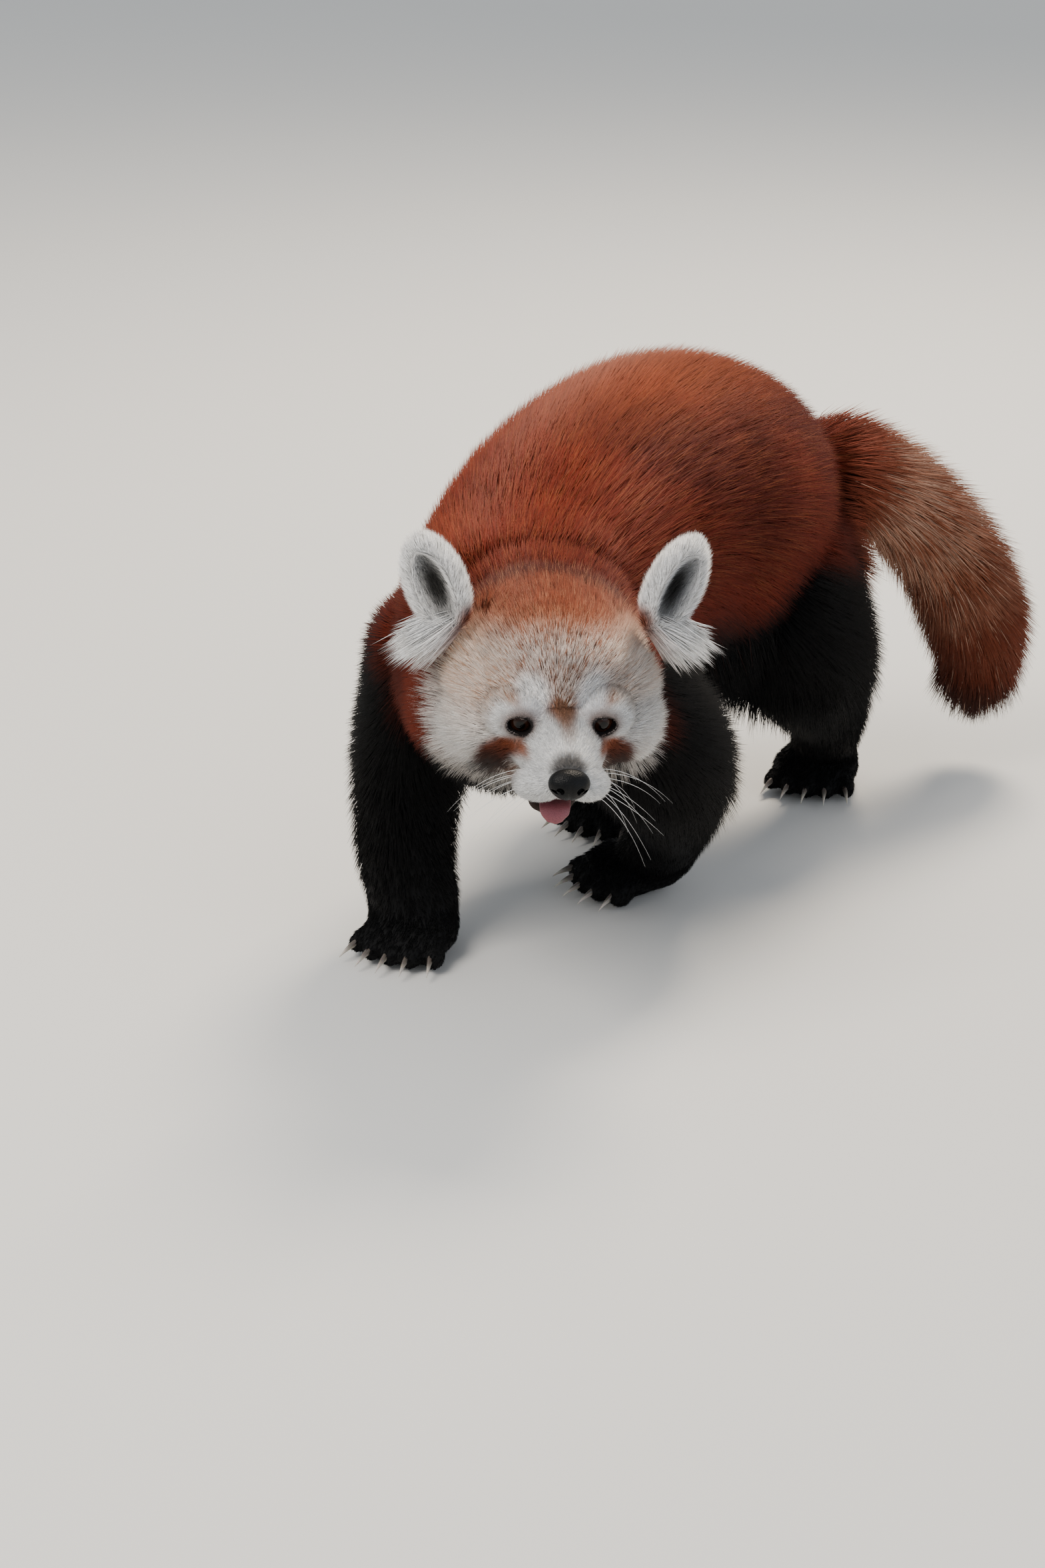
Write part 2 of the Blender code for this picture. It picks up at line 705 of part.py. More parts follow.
def make_ear(side, name):
    """A cup cut from a flattened egg, opening forwards and outwards."""
    base = Vector((side * 0.056, 0.050, 0.030))
    tip = Vector((side * 0.082, 0.060, 0.092))
    lean = (tip - base).normalized()
    face = Vector((side * 0.42, -1, 0.1)).normalized()
    width = face.cross(lean).normalized()
    face = lean.cross(width)
    turn = Matrix((width, face, lean)).transposed().to_4x4()
    length = (tip - base).length
    place = Matrix.Translation((base + tip) / 2) @ turn
    bm = bmesh.new()
    size = Matrix.Diagonal((0.0205, 0.0105, length / 2, 1))
    bmesh.ops.create_uvsphere(bm, u_segments=14, v_segments=10, radius=1, matrix=place @ size)
    ear = object_from(bm, name, PANDA)
    bm = bmesh.new()
    hollow = Matrix.Translation((0, 0.0085, 0.001)) @ Matrix.Diagonal((0.0145, 0.0105, length / 2 - 0.008, 1))
    bmesh.ops.create_uvsphere(bm, u_segments=12, v_segments=8, radius=1, matrix=place @ hollow)
    return combine(ear, [object_from(bm, "hollow", CUTTERS)], "DIFFERENCE")


def make_paw(leg):
    """A low pad with five toes and their claws, flat underneath."""
    x, y, degrees, heel = PAWS[leg]
    turn = Matrix.Rotation(math.radians(degrees), 4, "Z")
    pieces = [
        loft(
            [
                (0, heel, 0.014, PAW_HALF_WIDTH * 0.80, PAW_HALF_HEIGHT),
                (0, 0, 0.0145, PAW_HALF_WIDTH, PAW_HALF_HEIGHT),
                (0, -0.014, 0.0125, PAW_HALF_WIDTH * 0.95, PAW_HALF_HEIGHT * 0.9),
            ],
            "pad",
            WORK,
            3,
            16,
        )
    ]
    for i in range(TOES):
        spread = (i - (TOES - 1) / 2) / ((TOES - 1) / 2)
        centre = (spread * 0.0262, -0.0265 + 0.0085 * spread**2, 0.0085)
        pieces.append(blob(centre, (TOE_RADIUS, 0.013, 0.0095), "toe", WORK, (0, 0, spread * 0.35), 12, 8))
    for piece in pieces:
        piece.data.transform(Matrix.Translation((x, y, 0)) @ turn)
    return pieces


def claws_of(leg):
    """Five curved claws, each a bent cone sunk in its toe."""
    x, y, degrees, heel = PAWS[leg]
    place = Matrix.Translation((x, y, 0)) @ Matrix.Rotation(math.radians(degrees), 4, "Z")
    claws = []
    for i in range(TOES):
        spread = (i - (TOES - 1) / 2) / ((TOES - 1) / 2)
        bm = bmesh.new()
        bmesh.ops.create_cone(
            bm, cap_ends=True, segments=6, radius1=CLAW_RADIUS, radius2=0.0003, depth=CLAW_LENGTH
        )
        middle = [e for e in bm.edges if abs(e.verts[0].co.z - e.verts[1].co.z) > CLAW_LENGTH / 2]
        bmesh.ops.subdivide_edges(bm, edges=middle, cuts=2)
        for vert in bm.verts:
            along = vert.co.z / CLAW_LENGTH + 0.5
            vert.co.y -= CLAW_BEND * along**2
        forward = Matrix.Rotation(CLAW_PITCH, 4, "X")
        sideways = Matrix.Rotation(spread * 0.35, 4, "Z")
        root = (spread * 0.0288, -0.0400 + 0.0090 * spread**2, 0.0100)
        bmesh.ops.transform(bm, matrix=place @ Matrix.Translation(root) @ sideways @ forward, verts=bm.verts)
        claws.append(object_from(bm, "claw", WORK))
    return claws


def make_body():
    """Torso, neck, legs, paws and tail in one skin."""
    pieces = [loft(thinner(SPINE, BODY_CORE_DEPTH), "spine", WORK), loft(NECK, "neck_form", WORK)]
    pieces.append(loft(tail_core()[:TAIL_JOINED_STATIONS], "tail_form", WORK))
    for leg, stations in LEGS.items():
        pieces.append(loft(thinner(stations, LEG_CORE_DEPTH), leg + "_form", WORK))
        pieces += make_paw(leg)
    return fuse(pieces, "body", WORK, BODY_VOXEL, 4, BODY_FACES)


def part_body(body):
    """Cuts the fused body into torso, neck, tail lengths, legs and paws."""
    torso = copy_of(body, "torso", PANDA)
    blocks = [leg_block(leg, GAP, "block") for leg in LEGS]
    for leg in LEGS:
        whole = copy_of(body, leg, PANDA)
        combine(whole, [leg_block(leg, 0, "block")], "INTERSECT")
        trim(whole, (0, 0, 0), (0, 0, -1))
        paw = copy_of(whole, leg.replace("leg", "paw"), PANDA)
        trim(whole, (0, 0, PAW_CUT_HEIGHT + GAP), (0, 0, -1))
        trim(paw, (0, 0, PAW_CUT_HEIGHT), (0, 0, 1))
        combine(paw, claws_of(leg), "UNION")
        trim(paw, (0, 0, 0), (0, 0, -1))
    combine(torso, blocks, "DIFFERENCE")
    return torso


def seam(obj, name, point, normal):
    """Parts what lies beyond the plane into a new piece, with the gap between the two."""
    beyond = copy_of(obj, name, PANDA)
    normal = Vector(normal).normalized()
    trim(obj, point, normal)
    trim(beyond, Vector(point) + normal * GAP, -normal)
    return beyond


def make_face(head):
    """Puts the eyes, nose, jaw, tongue and ears in the head, each with the gap round it."""
    nose = make_nose()
    eyes = []
    for side, name in ((-1, "eye_right"), (1, "eye_left")):
        eyes.append(placed(blob(eye_centre(side), (EYE_RADIUS,) * 3, name, PANDA, segments=12, rings=9)))
    combine(head, [grown(nose)] + [grown(eye) for eye in eyes], "DIFFERENCE")
    jaw = make_jaw()
    combine(jaw, [grown(head)], "DIFFERENCE")
    combine(make_tongue(), [grown(head), grown(jaw)], "DIFFERENCE")
    for side, name in ((-1, "ear_right"), (1, "ear_left")):
        ear = make_ear(side, name)
        combine(ear, ear_tufts(side), "UNION")
        combine(placed(ear), [grown(head)], "DIFFERENCE")


def make_tail(lengths, surface):
    """Gives each length of the tail its locks, whose tips lie over the start of the next length."""
    before = None
    for length, (first, last) in zip(lengths, TAIL_RING_SHARES):
        combine(length, tail_locks(surface, first, last), "UNION")
        thin_to(length, TAIL_FACES)
        if before:
            cutters = [grown(before, TAIL_GAP), copy_of(before, "cutter", CUTTERS)]
            combine(length, cutters, "DIFFERENCE")
        before = length
    trim(lengths[0], RUMP_SEAM[0] + RUMP_SEAM[1] * GAP, -RUMP_SEAM[1])


def make_panda():
    """Makes every piece in its place."""
    body = make_body()
    head = make_head(body)
    make_face(head)
    tail_middle = loft(tail_core()[2:], "tail_middle", PANDA, 3, 14)
    surface = surface_of([body, tail_middle])
    combine(body, torso_locks(surface) + leg_locks(surface), "UNION")
    thin_to(body, COATED_BODY_FACES)
    combine(body, [grown(head)], "DIFFERENCE")
    torso = part_body(body)
    bpy.data.objects.remove(body)
    back = HEAD_PLACE.to_3x3() @ Vector((0, 1, 0))
    trim(torso, HEAD_PLACE @ Vector((0, NECK_SEAM_BACK, 0)), -back)
    seam(torso, "neck", *NECK_SEAM)
    tail_base = seam(torso, "tail_base", *RUMP_SEAM)
    point, way = TAIL_SEAMS[0]
    trim(tail_base, point, way)
    trim(tail_middle, point + way * GAP, -way)
    tail_tip = seam(tail_middle, "tail_tip", *TAIL_SEAMS[1])
    make_tail([tail_base, tail_middle, tail_tip], surface)


def centre_panda():
    """Sets the middle of the panda's own box over the origin, with the soles on the floor."""
    corners = [v.co for obj in PANDA.objects for v in obj.data.vertices]
    low = Vector([min(c[i] for c in corners) for i in range(3)])
    high = Vector([max(c[i] for c in corners) for i in range(3)])
    shift = Vector((-(low.x + high.x) / 2, -(low.y + high.y) / 2, -low.z))
    for obj in PANDA.objects:
        obj.data.transform(Matrix.Translation(shift))
    return shift


clear_scene()
PANDA = new_collection("red_panda")
WORK = new_collection("work")
CUTTERS = new_collection("cutters")
CUTTERS.hide_render = True
make_panda()
SHIFT = centre_panda()
for node in PANDA.objects:
    node.data.materials.clear()
    node.data.materials.append(material(node.name, *FINISHES[node.name.split("_")[0]]))
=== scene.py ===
"""The looks of the walking red panda: skin, eyes, nose, mouth, ears, claws, coat and whiskers."""
import math

import bmesh
import bpy
import numpy as np
from mathutils import Euler, Matrix, Vector
from mathutils.kdtree import KDTree


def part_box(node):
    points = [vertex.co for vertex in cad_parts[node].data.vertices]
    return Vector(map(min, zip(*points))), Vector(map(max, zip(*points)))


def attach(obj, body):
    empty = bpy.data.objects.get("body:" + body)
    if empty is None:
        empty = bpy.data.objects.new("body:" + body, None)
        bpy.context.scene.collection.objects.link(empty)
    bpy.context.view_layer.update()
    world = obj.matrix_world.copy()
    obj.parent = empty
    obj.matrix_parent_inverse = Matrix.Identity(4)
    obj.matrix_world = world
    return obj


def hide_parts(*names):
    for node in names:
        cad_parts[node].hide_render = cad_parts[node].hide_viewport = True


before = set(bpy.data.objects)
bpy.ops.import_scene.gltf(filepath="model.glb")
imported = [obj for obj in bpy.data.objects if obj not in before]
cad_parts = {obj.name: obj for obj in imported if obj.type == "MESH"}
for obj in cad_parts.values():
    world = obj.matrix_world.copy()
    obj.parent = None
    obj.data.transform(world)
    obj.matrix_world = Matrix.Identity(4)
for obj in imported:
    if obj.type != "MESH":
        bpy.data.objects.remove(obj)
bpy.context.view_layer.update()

# Studio
# The panda stands on a plain pale floor. The camera looks from its front left and a little above,
# as the photograph does. A large soft light hangs in front, and a strong one behind edges the coat.
EYE_MIDDLE = Vector((0.096, -0.040, 0.202))
HEAD_TURNS = Euler((math.radians(3), math.radians(3), math.radians(37)), "YXZ")
HEAD_PLACE = Matrix.Translation(EYE_MIDDLE) @ HEAD_TURNS.to_matrix().to_4x4()
EYE_SPACING = 0.045
EYE_SINK = 0.0048
eye_low, eye_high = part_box("eye_left")
SHIFT = (eye_low + eye_high) / 2 - HEAD_PLACE @ Vector((EYE_SPACING / 2, EYE_SINK, 0))

CAMERA_TARGET = Vector((0.0842, -0.0638, 0.170)) + SHIFT
CAMERA_DISTANCE = 1.6
CAMERA_TURN = math.radians(30)
CAMERA_RISE = math.radians(22)


def linear(text):
    """The linear colour of an sRGB hex value."""
    values = [int(text[i : i + 2], 16) / 255 for i in (1, 3, 5)]
    return [v / 12.92 if v <= 0.04045 else ((v + 0.055) / 1.055) ** 2.4 for v in values]


def add_node(tree, kind, inputs=None, **settings):
    """Adds one node with its settings; an input is a value or another node's socket."""
    node = tree.nodes.new("ShaderNode" + kind)
    for name, value in settings.items():
        setattr(node, name, value)
    for name, value in (inputs or {}).items():
        if isinstance(value, bpy.types.NodeSocket):
            tree.links.new(value, node.inputs[name])
        else:
            node.inputs[name].default_value = value
    return node


def new_material(name):
    """An empty material, its node tree and its Principled shader."""
    made = bpy.data.materials.new(name)
    made.use_nodes = True
    return made, made.node_tree, made.node_tree.nodes["Principled BSDF"]


def pattern(tree, kind, scale, **more):
    """A texture in the object's own metres, with this many repeats to a metre."""
    place = add_node(tree, "TexCoord")
    return add_node(tree, kind, {"Vector": place.outputs["Object"], "Scale": scale, **more})


def two_tones(tree, share, first, second):
    """Colours the material with two colours, mixed by a node's value."""
    colours = {"Color1": (*linear(first), 1), "Color2": (*linear(second), 1)}
    tone = add_node(tree, "MixRGB", {"Fac": share, **colours})
    tree.links.new(tone.outputs["Color"], tree.nodes["Principled BSDF"].inputs["Base Color"])


def object_from(bm, name):
    """Turns a finished mesh under construction into an object."""
    mesh = bpy.data.meshes.new(name)
    bm.to_mesh(mesh)
    bm.free()
    obj = bpy.data.objects.new(name, mesh)
    bpy.context.scene.collection.objects.link(obj)
    return obj


bm = bmesh.new()
bmesh.ops.create_grid(bm, x_segments=8, y_segments=8, size=12)
floor = object_from(bm, "floor")
paper, tree, shader = new_material("matt_studio_paper")
mottle = add_node(tree, "TexNoise", {"Scale": 3.0, "Detail": 2.0})
two_tones(tree, mottle.outputs["Fac"], "#dddcd8", "#e3e1dc")
shader.inputs["Roughness"].default_value = 0.9
floor.data.materials.append(paper)

world = bpy.data.worlds.new("studio")
bpy.context.scene.world = world
world.use_nodes = True
world.node_tree.nodes["Background"].inputs["Color"].default_value = (*linear("#dfe4ea"), 1)
world.node_tree.nodes["Background"].inputs["Strength"].default_value = 0.85


def soft_light(name, place, power, size, colour):
    """A square area light that faces the panda."""
    data = bpy.data.lights.new(name, "AREA")
    data.energy = power
    data.size = size
    data.color = linear(colour)
    light = bpy.data.objects.new(name, data)
    light.location = Vector(place)
    light.rotation_euler = (Vector((0, 0, 0.18)) - light.location).to_track_quat("-Z", "Y").to_euler()
    bpy.context.scene.collection.objects.link(light)


soft_light("key", (-0.5, -1.5, 1.9), 42, 1.2, "#fff8f0")
soft_light("fill", (2.0, -0.6, 0.9), 9, 1.6, "#e6eeff")
soft_light("rim", (-0.2, 1.6, 2.2), 85, 0.9, "#fff0dc")

camera = bpy.data.objects.new("camera", bpy.data.cameras.new("camera"))
camera.data.lens = 65
camera.data.sensor_width = 36
back = Vector(
    (
        math.sin(CAMERA_TURN) * math.cos(CAMERA_RISE),
        -math.cos(CAMERA_TURN) * math.cos(CAMERA_RISE),
        math.sin(CAMERA_RISE),
    )
)
camera.location = CAMERA_TARGET + back * CAMERA_DISTANCE
camera.rotation_mode = "QUATERNION"
camera.rotation_quaternion = (-back).to_track_quat("-Z", "Y")
bpy.context.scene.collection.objects.link(camera)
bpy.context.scene.camera = camera

# Skin
# The hide under the coat, one closed surface from the lips to the tip of the tail.
# It is fused from tubes and egg shapes that lie inside the coat's outline by the coat's depth.
BODY_COAT = 0.011
TAIL_COAT = 0.021
LEG_COAT = 0.007
HEAD_VOXEL = 0.0015
HEAD_SMOOTHING = 10
BODY_VOXEL = 0.0032
BODY_SMOOTHING = 4
# Each station of a tube: x, y, z, and half the width and height out to the tips of the coat
SPINE = [
    (0.032, 0.005, 0.194, 0.052, 0.058),
    (0.014, 0.044, 0.192, 0.078, 0.084),
    (-0.004, 0.100, 0.204, 0.086, 0.098),
    (-0.009, 0.165, 0.219, 0.089, 0.110),
    (-0.002, 0.230, 0.227, 0.090, 0.117),
    (0.010, 0.290, 0.225, 0.090, 0.112),
    (0.023, 0.345, 0.219, 0.076, 0.092),
    (0.034, 0.380, 0.214, 0.050, 0.062),
]
NECK = [
    (0.010, 0.060, 0.202, 0.066, 0.070),
    (0.040, 0.028, 0.210, 0.062, 0.066),
    (0.066, -0.004, 0.212, 0.058, 0.062),
]
TAIL = [
    (0.034, 0.360, 0.238, 0.043, 0.049),
    (0.050, 0.388, 0.243, 0.042, 0.046),
    (0.072, 0.420, 0.231, 0.040, 0.041),
    (0.098, 0.453, 0.203, 0.040, 0.041),
    (0.120, 0.477, 0.167, 0.041, 0.041),
    (0.135, 0.491, 0.128, 0.041, 0.041),
    (0.141, 0.497, 0.100, 0.037, 0.037),
    (0.141, 0.498, 0.080, 0.032, 0.032),
]
LEGS = {
    "front_right": [
        (-0.046, 0.060, 0.190, 0.044, 0.052),
        (-0.060, 0.048, 0.122, 0.038, 0.042),
        (-0.060, 0.038, 0.068, 0.036, 0.036),
        (-0.052, 0.034, 0.028, 0.035, 0.035),
    ],
    "front_left": [
        (0.052, 0.078, 0.185, 0.048, 0.054),
        (0.083, 0.113, 0.122, 0.041, 0.047),
        (0.070, 0.158, 0.068, 0.031, 0.035),
        (0.044, 0.181, 0.028, 0.031, 0.032),
    ],
    "hind_right": [
        (-0.036, 0.310, 0.200, 0.054, 0.072),
        (-0.050, 0.288, 0.128, 0.045, 0.052),
        (-0.042, 0.300, 0.064, 0.031, 0.036),
        (-0.036, 0.302, 0.030, 0.029, 0.032),
    ],
    "hind_left": [
        (0.048, 0.333, 0.195, 0.049, 0.070),
        (0.073, 0.340, 0.128, 0.048, 0.055),
        (0.073, 0.388, 0.068, 0.032, 0.037),
        (0.061, 0.412, 0.030, 0.030, 0.031),
    ],
}
# A paw is its ball's x and y, its turn to the left in degrees, and its length behind the ball.
PAWS = {
    "front_right": (-0.045, 0.022, 2.0, 0.016),
    "front_left": (0.026, 0.174, -32.0, 0.018),
    "hind_right": (-0.034, 0.262, -4.0, 0.044),
    "hind_left": (0.059, 0.404, 12.0, 0.030),
}
TOES = 5
# The head's forms: centre, radii and the depth of the coat over them, in the head's own axes
HEAD_FORMS = (
    ((0, 0.050, 0.014), (0.057, 0.055, 0.050), 0.0085),
    ((0, 0.033, -0.002), (0.050, 0.035, 0.037), 0.0055),
    ((0, 0.025, -0.015), (0.054, 0.030, 0.029), 0.0050),
    ((0.035, 0.036, -0.013), (0.031, 0.035, 0.031), 0.0085),
    ((-0.035, 0.036, -0.013), (0.031, 0.035, 0.031), 0.0085),
    ((0.034, 0.044, 0.006), (0.0290, 0.036, 0.034), 0.0080),
    ((-0.034, 0.044, 0.006), (0.0290, 0.036, 0.034), 0.0080),
    ((0.0235, 0.0125, 0.0000), (0.0200, 0.0185, 0.0180), 0.0015),
    ((-0.0235, 0.0125, 0.0000), (0.0200, 0.0185, 0.0180), 0.0015),
    ((0.0122, -0.0265, -0.0258), (0.0145, 0.0148, 0.0108), 0.0015),
    ((-0.0146, -0.0260, -0.0258), (0.0165, 0.0150, 0.0110), 0.0015),
)
MUZZLE = [
    (0, 0.014, -0.013, 0.033, 0.027),
    (0, -0.014, -0.0165, 0.0245, 0.0195),
    (0, -0.0295, -0.0200, 0.0185, 0.0145),
]
NAPE = [(0, 0.060, 0.010, 0.060, 0.054), (0, 0.105, 0.012, 0.064, 0.058)]
JAW = [
    (0, 0.022, -0.0385, 0.026, 0.013),
    (-0.002, 0.004, -0.0415, 0.0190, 0.0095),
    (-0.0065, -0.0180, -0.0442, 0.0135, 0.0062),
]
EYE_RADIUS = 0.0080
EYE_TURN = math.radians(16)
LID_RADIUS = 0.0085
SLIT_DROP = 0.0015
SLIT_RADII = (0.0074, 0.0063, 0.0053)


def smooth_line(stations, steps=8):
    """Points read from a smooth curve through the stations, sizes included."""
    knots = np.array(stations, float)
    knots = np.vstack([2 * knots[0] - knots[1], knots, 2 * knots[-1] - knots[-2]])
    line = []
    for i in range(1, len(knots) - 2):
        before, start, end, after = knots[i - 1 : i + 3]
        for t in np.arange(steps) / steps:
            bend = (2 * before - 5 * start + 4 * end - after) * t**2
            turn = (3 * start - before - 3 * end + after) * t**3
            line.append(0.5 * (2 * start + (end - before) * t + bend + turn))
    line.append(knots[-2])
    return np.array(line)


def tangents(line):
    """The way along a line of points, at each of them."""
    ways = np.gradient(line[:, :3], axis=0)
    return ways / np.linalg.norm(ways, axis=1, keepdims=True)


def ring_matrix(centre, tangent, half_width, half_height):
    """A circle's matrix: x along the width, y along the height, z along the tube."""
    side = (Vector((1, 0, 0)) - tangent * tangent.x).normalized()
    turn = Matrix((side, tangent.cross(side), tangent)).transposed().to_4x4()
    return Matrix.Translation(centre) @ turn @ Matrix.Diagonal((half_width, half_height, 1, 1))


def loft(stations, coat=0.0, least=0.0, sides=32):
    """A closed tube through the stations, thinner by the coat, with a rounded cap at each end."""
    line = smooth_line(stations)
    sizes = np.maximum(line[:, 3:] - coat, line[:, 3:] * least)
    rings = [(Vector(p[:3]), Vector(t), *s) for p, t, s in zip(line, tangents(line), sizes)]
    for end, direction in ((rings[0], -1), (rings[-1], 1)):
        centre, tangent, half_width, half_height = end
        reach = min(half_width, half_height)
        for degrees in (20, 40, 58, 74, 85):
            angle = math.radians(degrees)
            middle = centre + tangent * direction * reach * math.sin(angle)
            ring = (middle, tangent, half_width * math.cos(angle), half_height * math.cos(angle))
            rings.insert(0, ring) if direction < 0 else rings.append(ring)
    bm = bmesh.new()
    loops = []
    for i, ring in enumerate(rings):
        ends = i in (0, len(rings) - 1)
        made = bmesh.ops.create_circle(bm, cap_ends=ends, segments=sides, radius=1, matrix=ring_matrix(*ring))
        corners = set(made["verts"])
        loops.append([e for e in bm.edges if e.verts[0] in corners and e.verts[1] in corners])
    for low, high in zip(loops, loops[1:]):
        bmesh.ops.bridge_loops(bm, edges=low + high)
    bmesh.ops.recalc_face_normals(bm, faces=bm.faces)
    return object_from(bm, "loft")


def egg(centre, radii, turn=(0, 0, 0), segments=48, rings=32):
    """An ellipsoid."""
    bm = bmesh.new()
    place = Matrix.Translation(centre) @ Euler(turn).to_matrix().to_4x4() @ Matrix.Diagonal((*radii, 1))
    bmesh.ops.create_uvsphere(bm, u_segments=segments, v_segments=rings, radius=1, matrix=place)
    return object_from(bm, "egg")


def moved(obj, matrix):
    """Moves an object's mesh."""
    obj.data.transform(matrix)
    return obj


def finished(piece, material, place):
    """Gives a piece its one material and smooth shading, and sets it in its place."""
    piece.data.materials.clear()
    piece.data.materials.append(material)
    for polygon in piece.data.polygons:
        polygon.use_smooth = True
    moved(piece, place)


def roughened(tree, height, depth, strength):
    """Raises the material's surface by a node's value, up to a depth in metres."""
    relief = add_node(tree, "Bump", {"Height": height, "Distance": depth, "Strength": strength})
    tree.links.new(relief.outputs["Normal"], tree.nodes["Principled BSDF"].inputs["Normal"])


def applied(obj):
    """Replaces the object's mesh by what its modifiers make of it."""
    bpy.context.view_layer.update()
    graph = bpy.context.evaluated_depsgraph_get()
    mesh = bpy.data.meshes.new_from_object(obj.evaluated_get(graph))
    obj.modifiers.clear()
    obj.data = mesh
    return obj


def joined(pieces, name):
    """Puts several objects' meshes into one object."""
    bm = bmesh.new()
    for piece in pieces:
        bm.from_mesh(piece.data)
        bpy.data.objects.remove(piece, do_unlink=True)
    return object_from(bm, name)


def fuse(pieces, name, voxel, smoothing):
    """Joins closed pieces into one smooth closed skin."""
    skin = joined(pieces, name)
    remesh = skin.modifiers.new("fuse", "REMESH")
    remesh.mode = "VOXEL"
    remesh.voxel_size = voxel
    smooth = skin.modifiers.new("soften", "SMOOTH")
    smooth.factor = 0.5
    smooth.iterations = smoothing
    return applied(skin)


def combine(obj, others, operation):
    """One Boolean with the other pieces, which are used up."""
    tool = joined(others, "tool")
    cut = obj.modifiers.new("combine", "BOOLEAN")
    cut.operation = operation
    cut.object = tool
    cut.solver = "MANIFOLD"
    applied(obj)
    bpy.data.objects.remove(tool, do_unlink=True)
    return obj


def ear_axes(side):
    """The ear's own axes, x across, y out of its open face and z to its tip, and its length."""
    base = Vector((side * 0.056, 0.050, 0.030))
    tip = Vector((side * 0.082, 0.060, 0.092))
    lean = (tip - base).normalized()
    face = Vector((side * 0.42, -1, 0.1)).normalized()
    width = face.cross(lean).normalized()
    face = lean.cross(width)
    turn = Matrix((width, face, lean)).transposed().to_4x4()
    return Matrix.Translation((base + tip) / 2) @ turn, (tip - base).length


def paw_place(leg):
    """Where a paw stands."""
    x, y, degrees = PAWS[leg][:3]
    return Matrix.Translation((x, y, 0)) @ Matrix.Rotation(math.radians(degrees), 4, "Z")


def make_skin():
    """The head in fine detail, joined to the body."""
    forms = []
    for centre, radii, coat in HEAD_FORMS:
        forms.append(egg(centre, [r - coat for r in radii]))
    forms.append(loft(MUZZLE, 0.0020))
    forms.append(loft(NAPE, 0.0095))
    forms.append(loft(JAW, 0.0015))
    for side in (-1, 1):
        place, length = ear_axes(side)
        forms.append(moved(egg((0, 0, 0), (0.0175, 0.0085, length / 2 - 0.0035)), place))
    head = fuse(forms, "head_skin", HEAD_VOXEL, HEAD_SMOOTHING)
    hollows = []
    for side in (-1, 1):
        place, length = ear_axes(side)
        hollows.append(moved(egg((0, 0.0085, -0.001), (0.0120, 0.0100, length / 2 - 0.010)), place))
    hollows.append(egg((-0.004, -0.014, -0.0374), (0.0180, 0.0205, 0.0034), (math.radians(7), 0, 0)))
    combine(head, hollows, "DIFFERENCE")
    lids = []
    slits = []
    for side in (-1, 1):
        eye = Vector((side * EYE_SPACING / 2, EYE_SINK, 0))
        lids.append(egg(eye, (LID_RADIUS,) * 3))
        front = eye + Vector((side * 0.0022, -EYE_RADIUS, -SLIT_DROP))
        slits.append(egg(front, SLIT_RADII, (0, side * math.radians(-10), side * EYE_TURN)))
    combine(head, lids, "UNION")
    combine(head, slits, "DIFFERENCE")
    moved(head, HEAD_PLACE)
    pieces = [loft(SPINE, BODY_COAT), loft(NECK, BODY_COAT), loft(TAIL, TAIL_COAT, 0.42)]
    for leg, stations in LEGS.items():
        pieces.append(loft(stations, LEG_COAT))
        heel = PAWS[leg][3]
        pad = [(0, heel, 0.0150, 0.0240, 0.0145), (0, 0, 0.0155, 0.0305, 0.0150)]
        pad.append((0, -0.014, 0.0135, 0.0290, 0.0130))
        feet = [loft(pad, 0)]
        for i in range(TOES):
            spread = (i - (TOES - 1) / 2) / ((TOES - 1) / 2)
            centre = (spread * 0.0262, -0.0265 + 0.0085 * spread**2, 0.0095)
            feet.append(egg(centre, (0.0060, 0.0115, 0.0080), (0, 0, spread * 0.35), 24, 16))
        pieces += [moved(foot, paw_place(leg)) for foot in feet]
    body = fuse(pieces, "body_skin", BODY_VOXEL, BODY_SMOOTHING)
    return combine(head, [body], "UNION")


skin = make_skin()
skin.name = "skin"


def mesh_arrays(mesh):
    """Corner places and numbers, and smooth normals, of a mesh's triangles."""
    mesh.calc_loop_triangles()
    points = np.empty(len(mesh.vertices) * 3)
    mesh.vertices.foreach_get("co", points)
    normals = np.empty(len(mesh.vertices) * 3)
    mesh.vertex_normals.foreach_get("vector", normals)
    corners = np.empty(len(mesh.loop_triangles) * 3, int)
    mesh.loop_triangles.foreach_get("vertices", corners)
    return points.reshape(-1, 3), normals.reshape(-1, 3), corners.reshape(-1, 3)


skin_points, skin_normals, skin_corners = mesh_arrays(skin.data)

# The top of the back carries a painted highlight, and the tail's inner side painted shade.
# Markings
# Rust back with darker bands, black legs and belly, ringed tail, and a pale face with tear marks.
# The skin and the coat both take their colours from these functions of place on the body.
HEAD_BACK = np.array(HEAD_PLACE.inverted())
HEAD_TURN_BACK = HEAD_BACK[:3, :3]
HEAD_TURN = np.array(HEAD_PLACE.to_3x3()).T
IN_FRAME = Matrix.Translation(SHIFT)
WAVES = np.random.default_rng(11).normal(size=(6, 3))


def head_axes(points):
    """Places in the head's own axes."""
    return points @ HEAD_TURN_BACK.T + HEAD_BACK[:3, 3]


def rise_of(local):
    """How far up the forehead and crown a place in the head's axes lies, as seen from in front."""
    return 0.9 * local[:, 2] + 0.42 * local[:, 1]


def ramp(value, start, end):
    """0 up to start, 1 from end, smooth between."""
    t = np.clip((value - start) / (end - start), 0, 1)
    return t * t * (3 - 2 * t)


def within(points, centre, radii, soft=0.35):
    """1 inside an ellipsoid, 0 outside, with a soft edge."""
    reach = np.linalg.norm((points - np.array(centre)) / np.array(radii), axis=1)
    return 1 - ramp(reach, 1 - soft, 1 + soft)


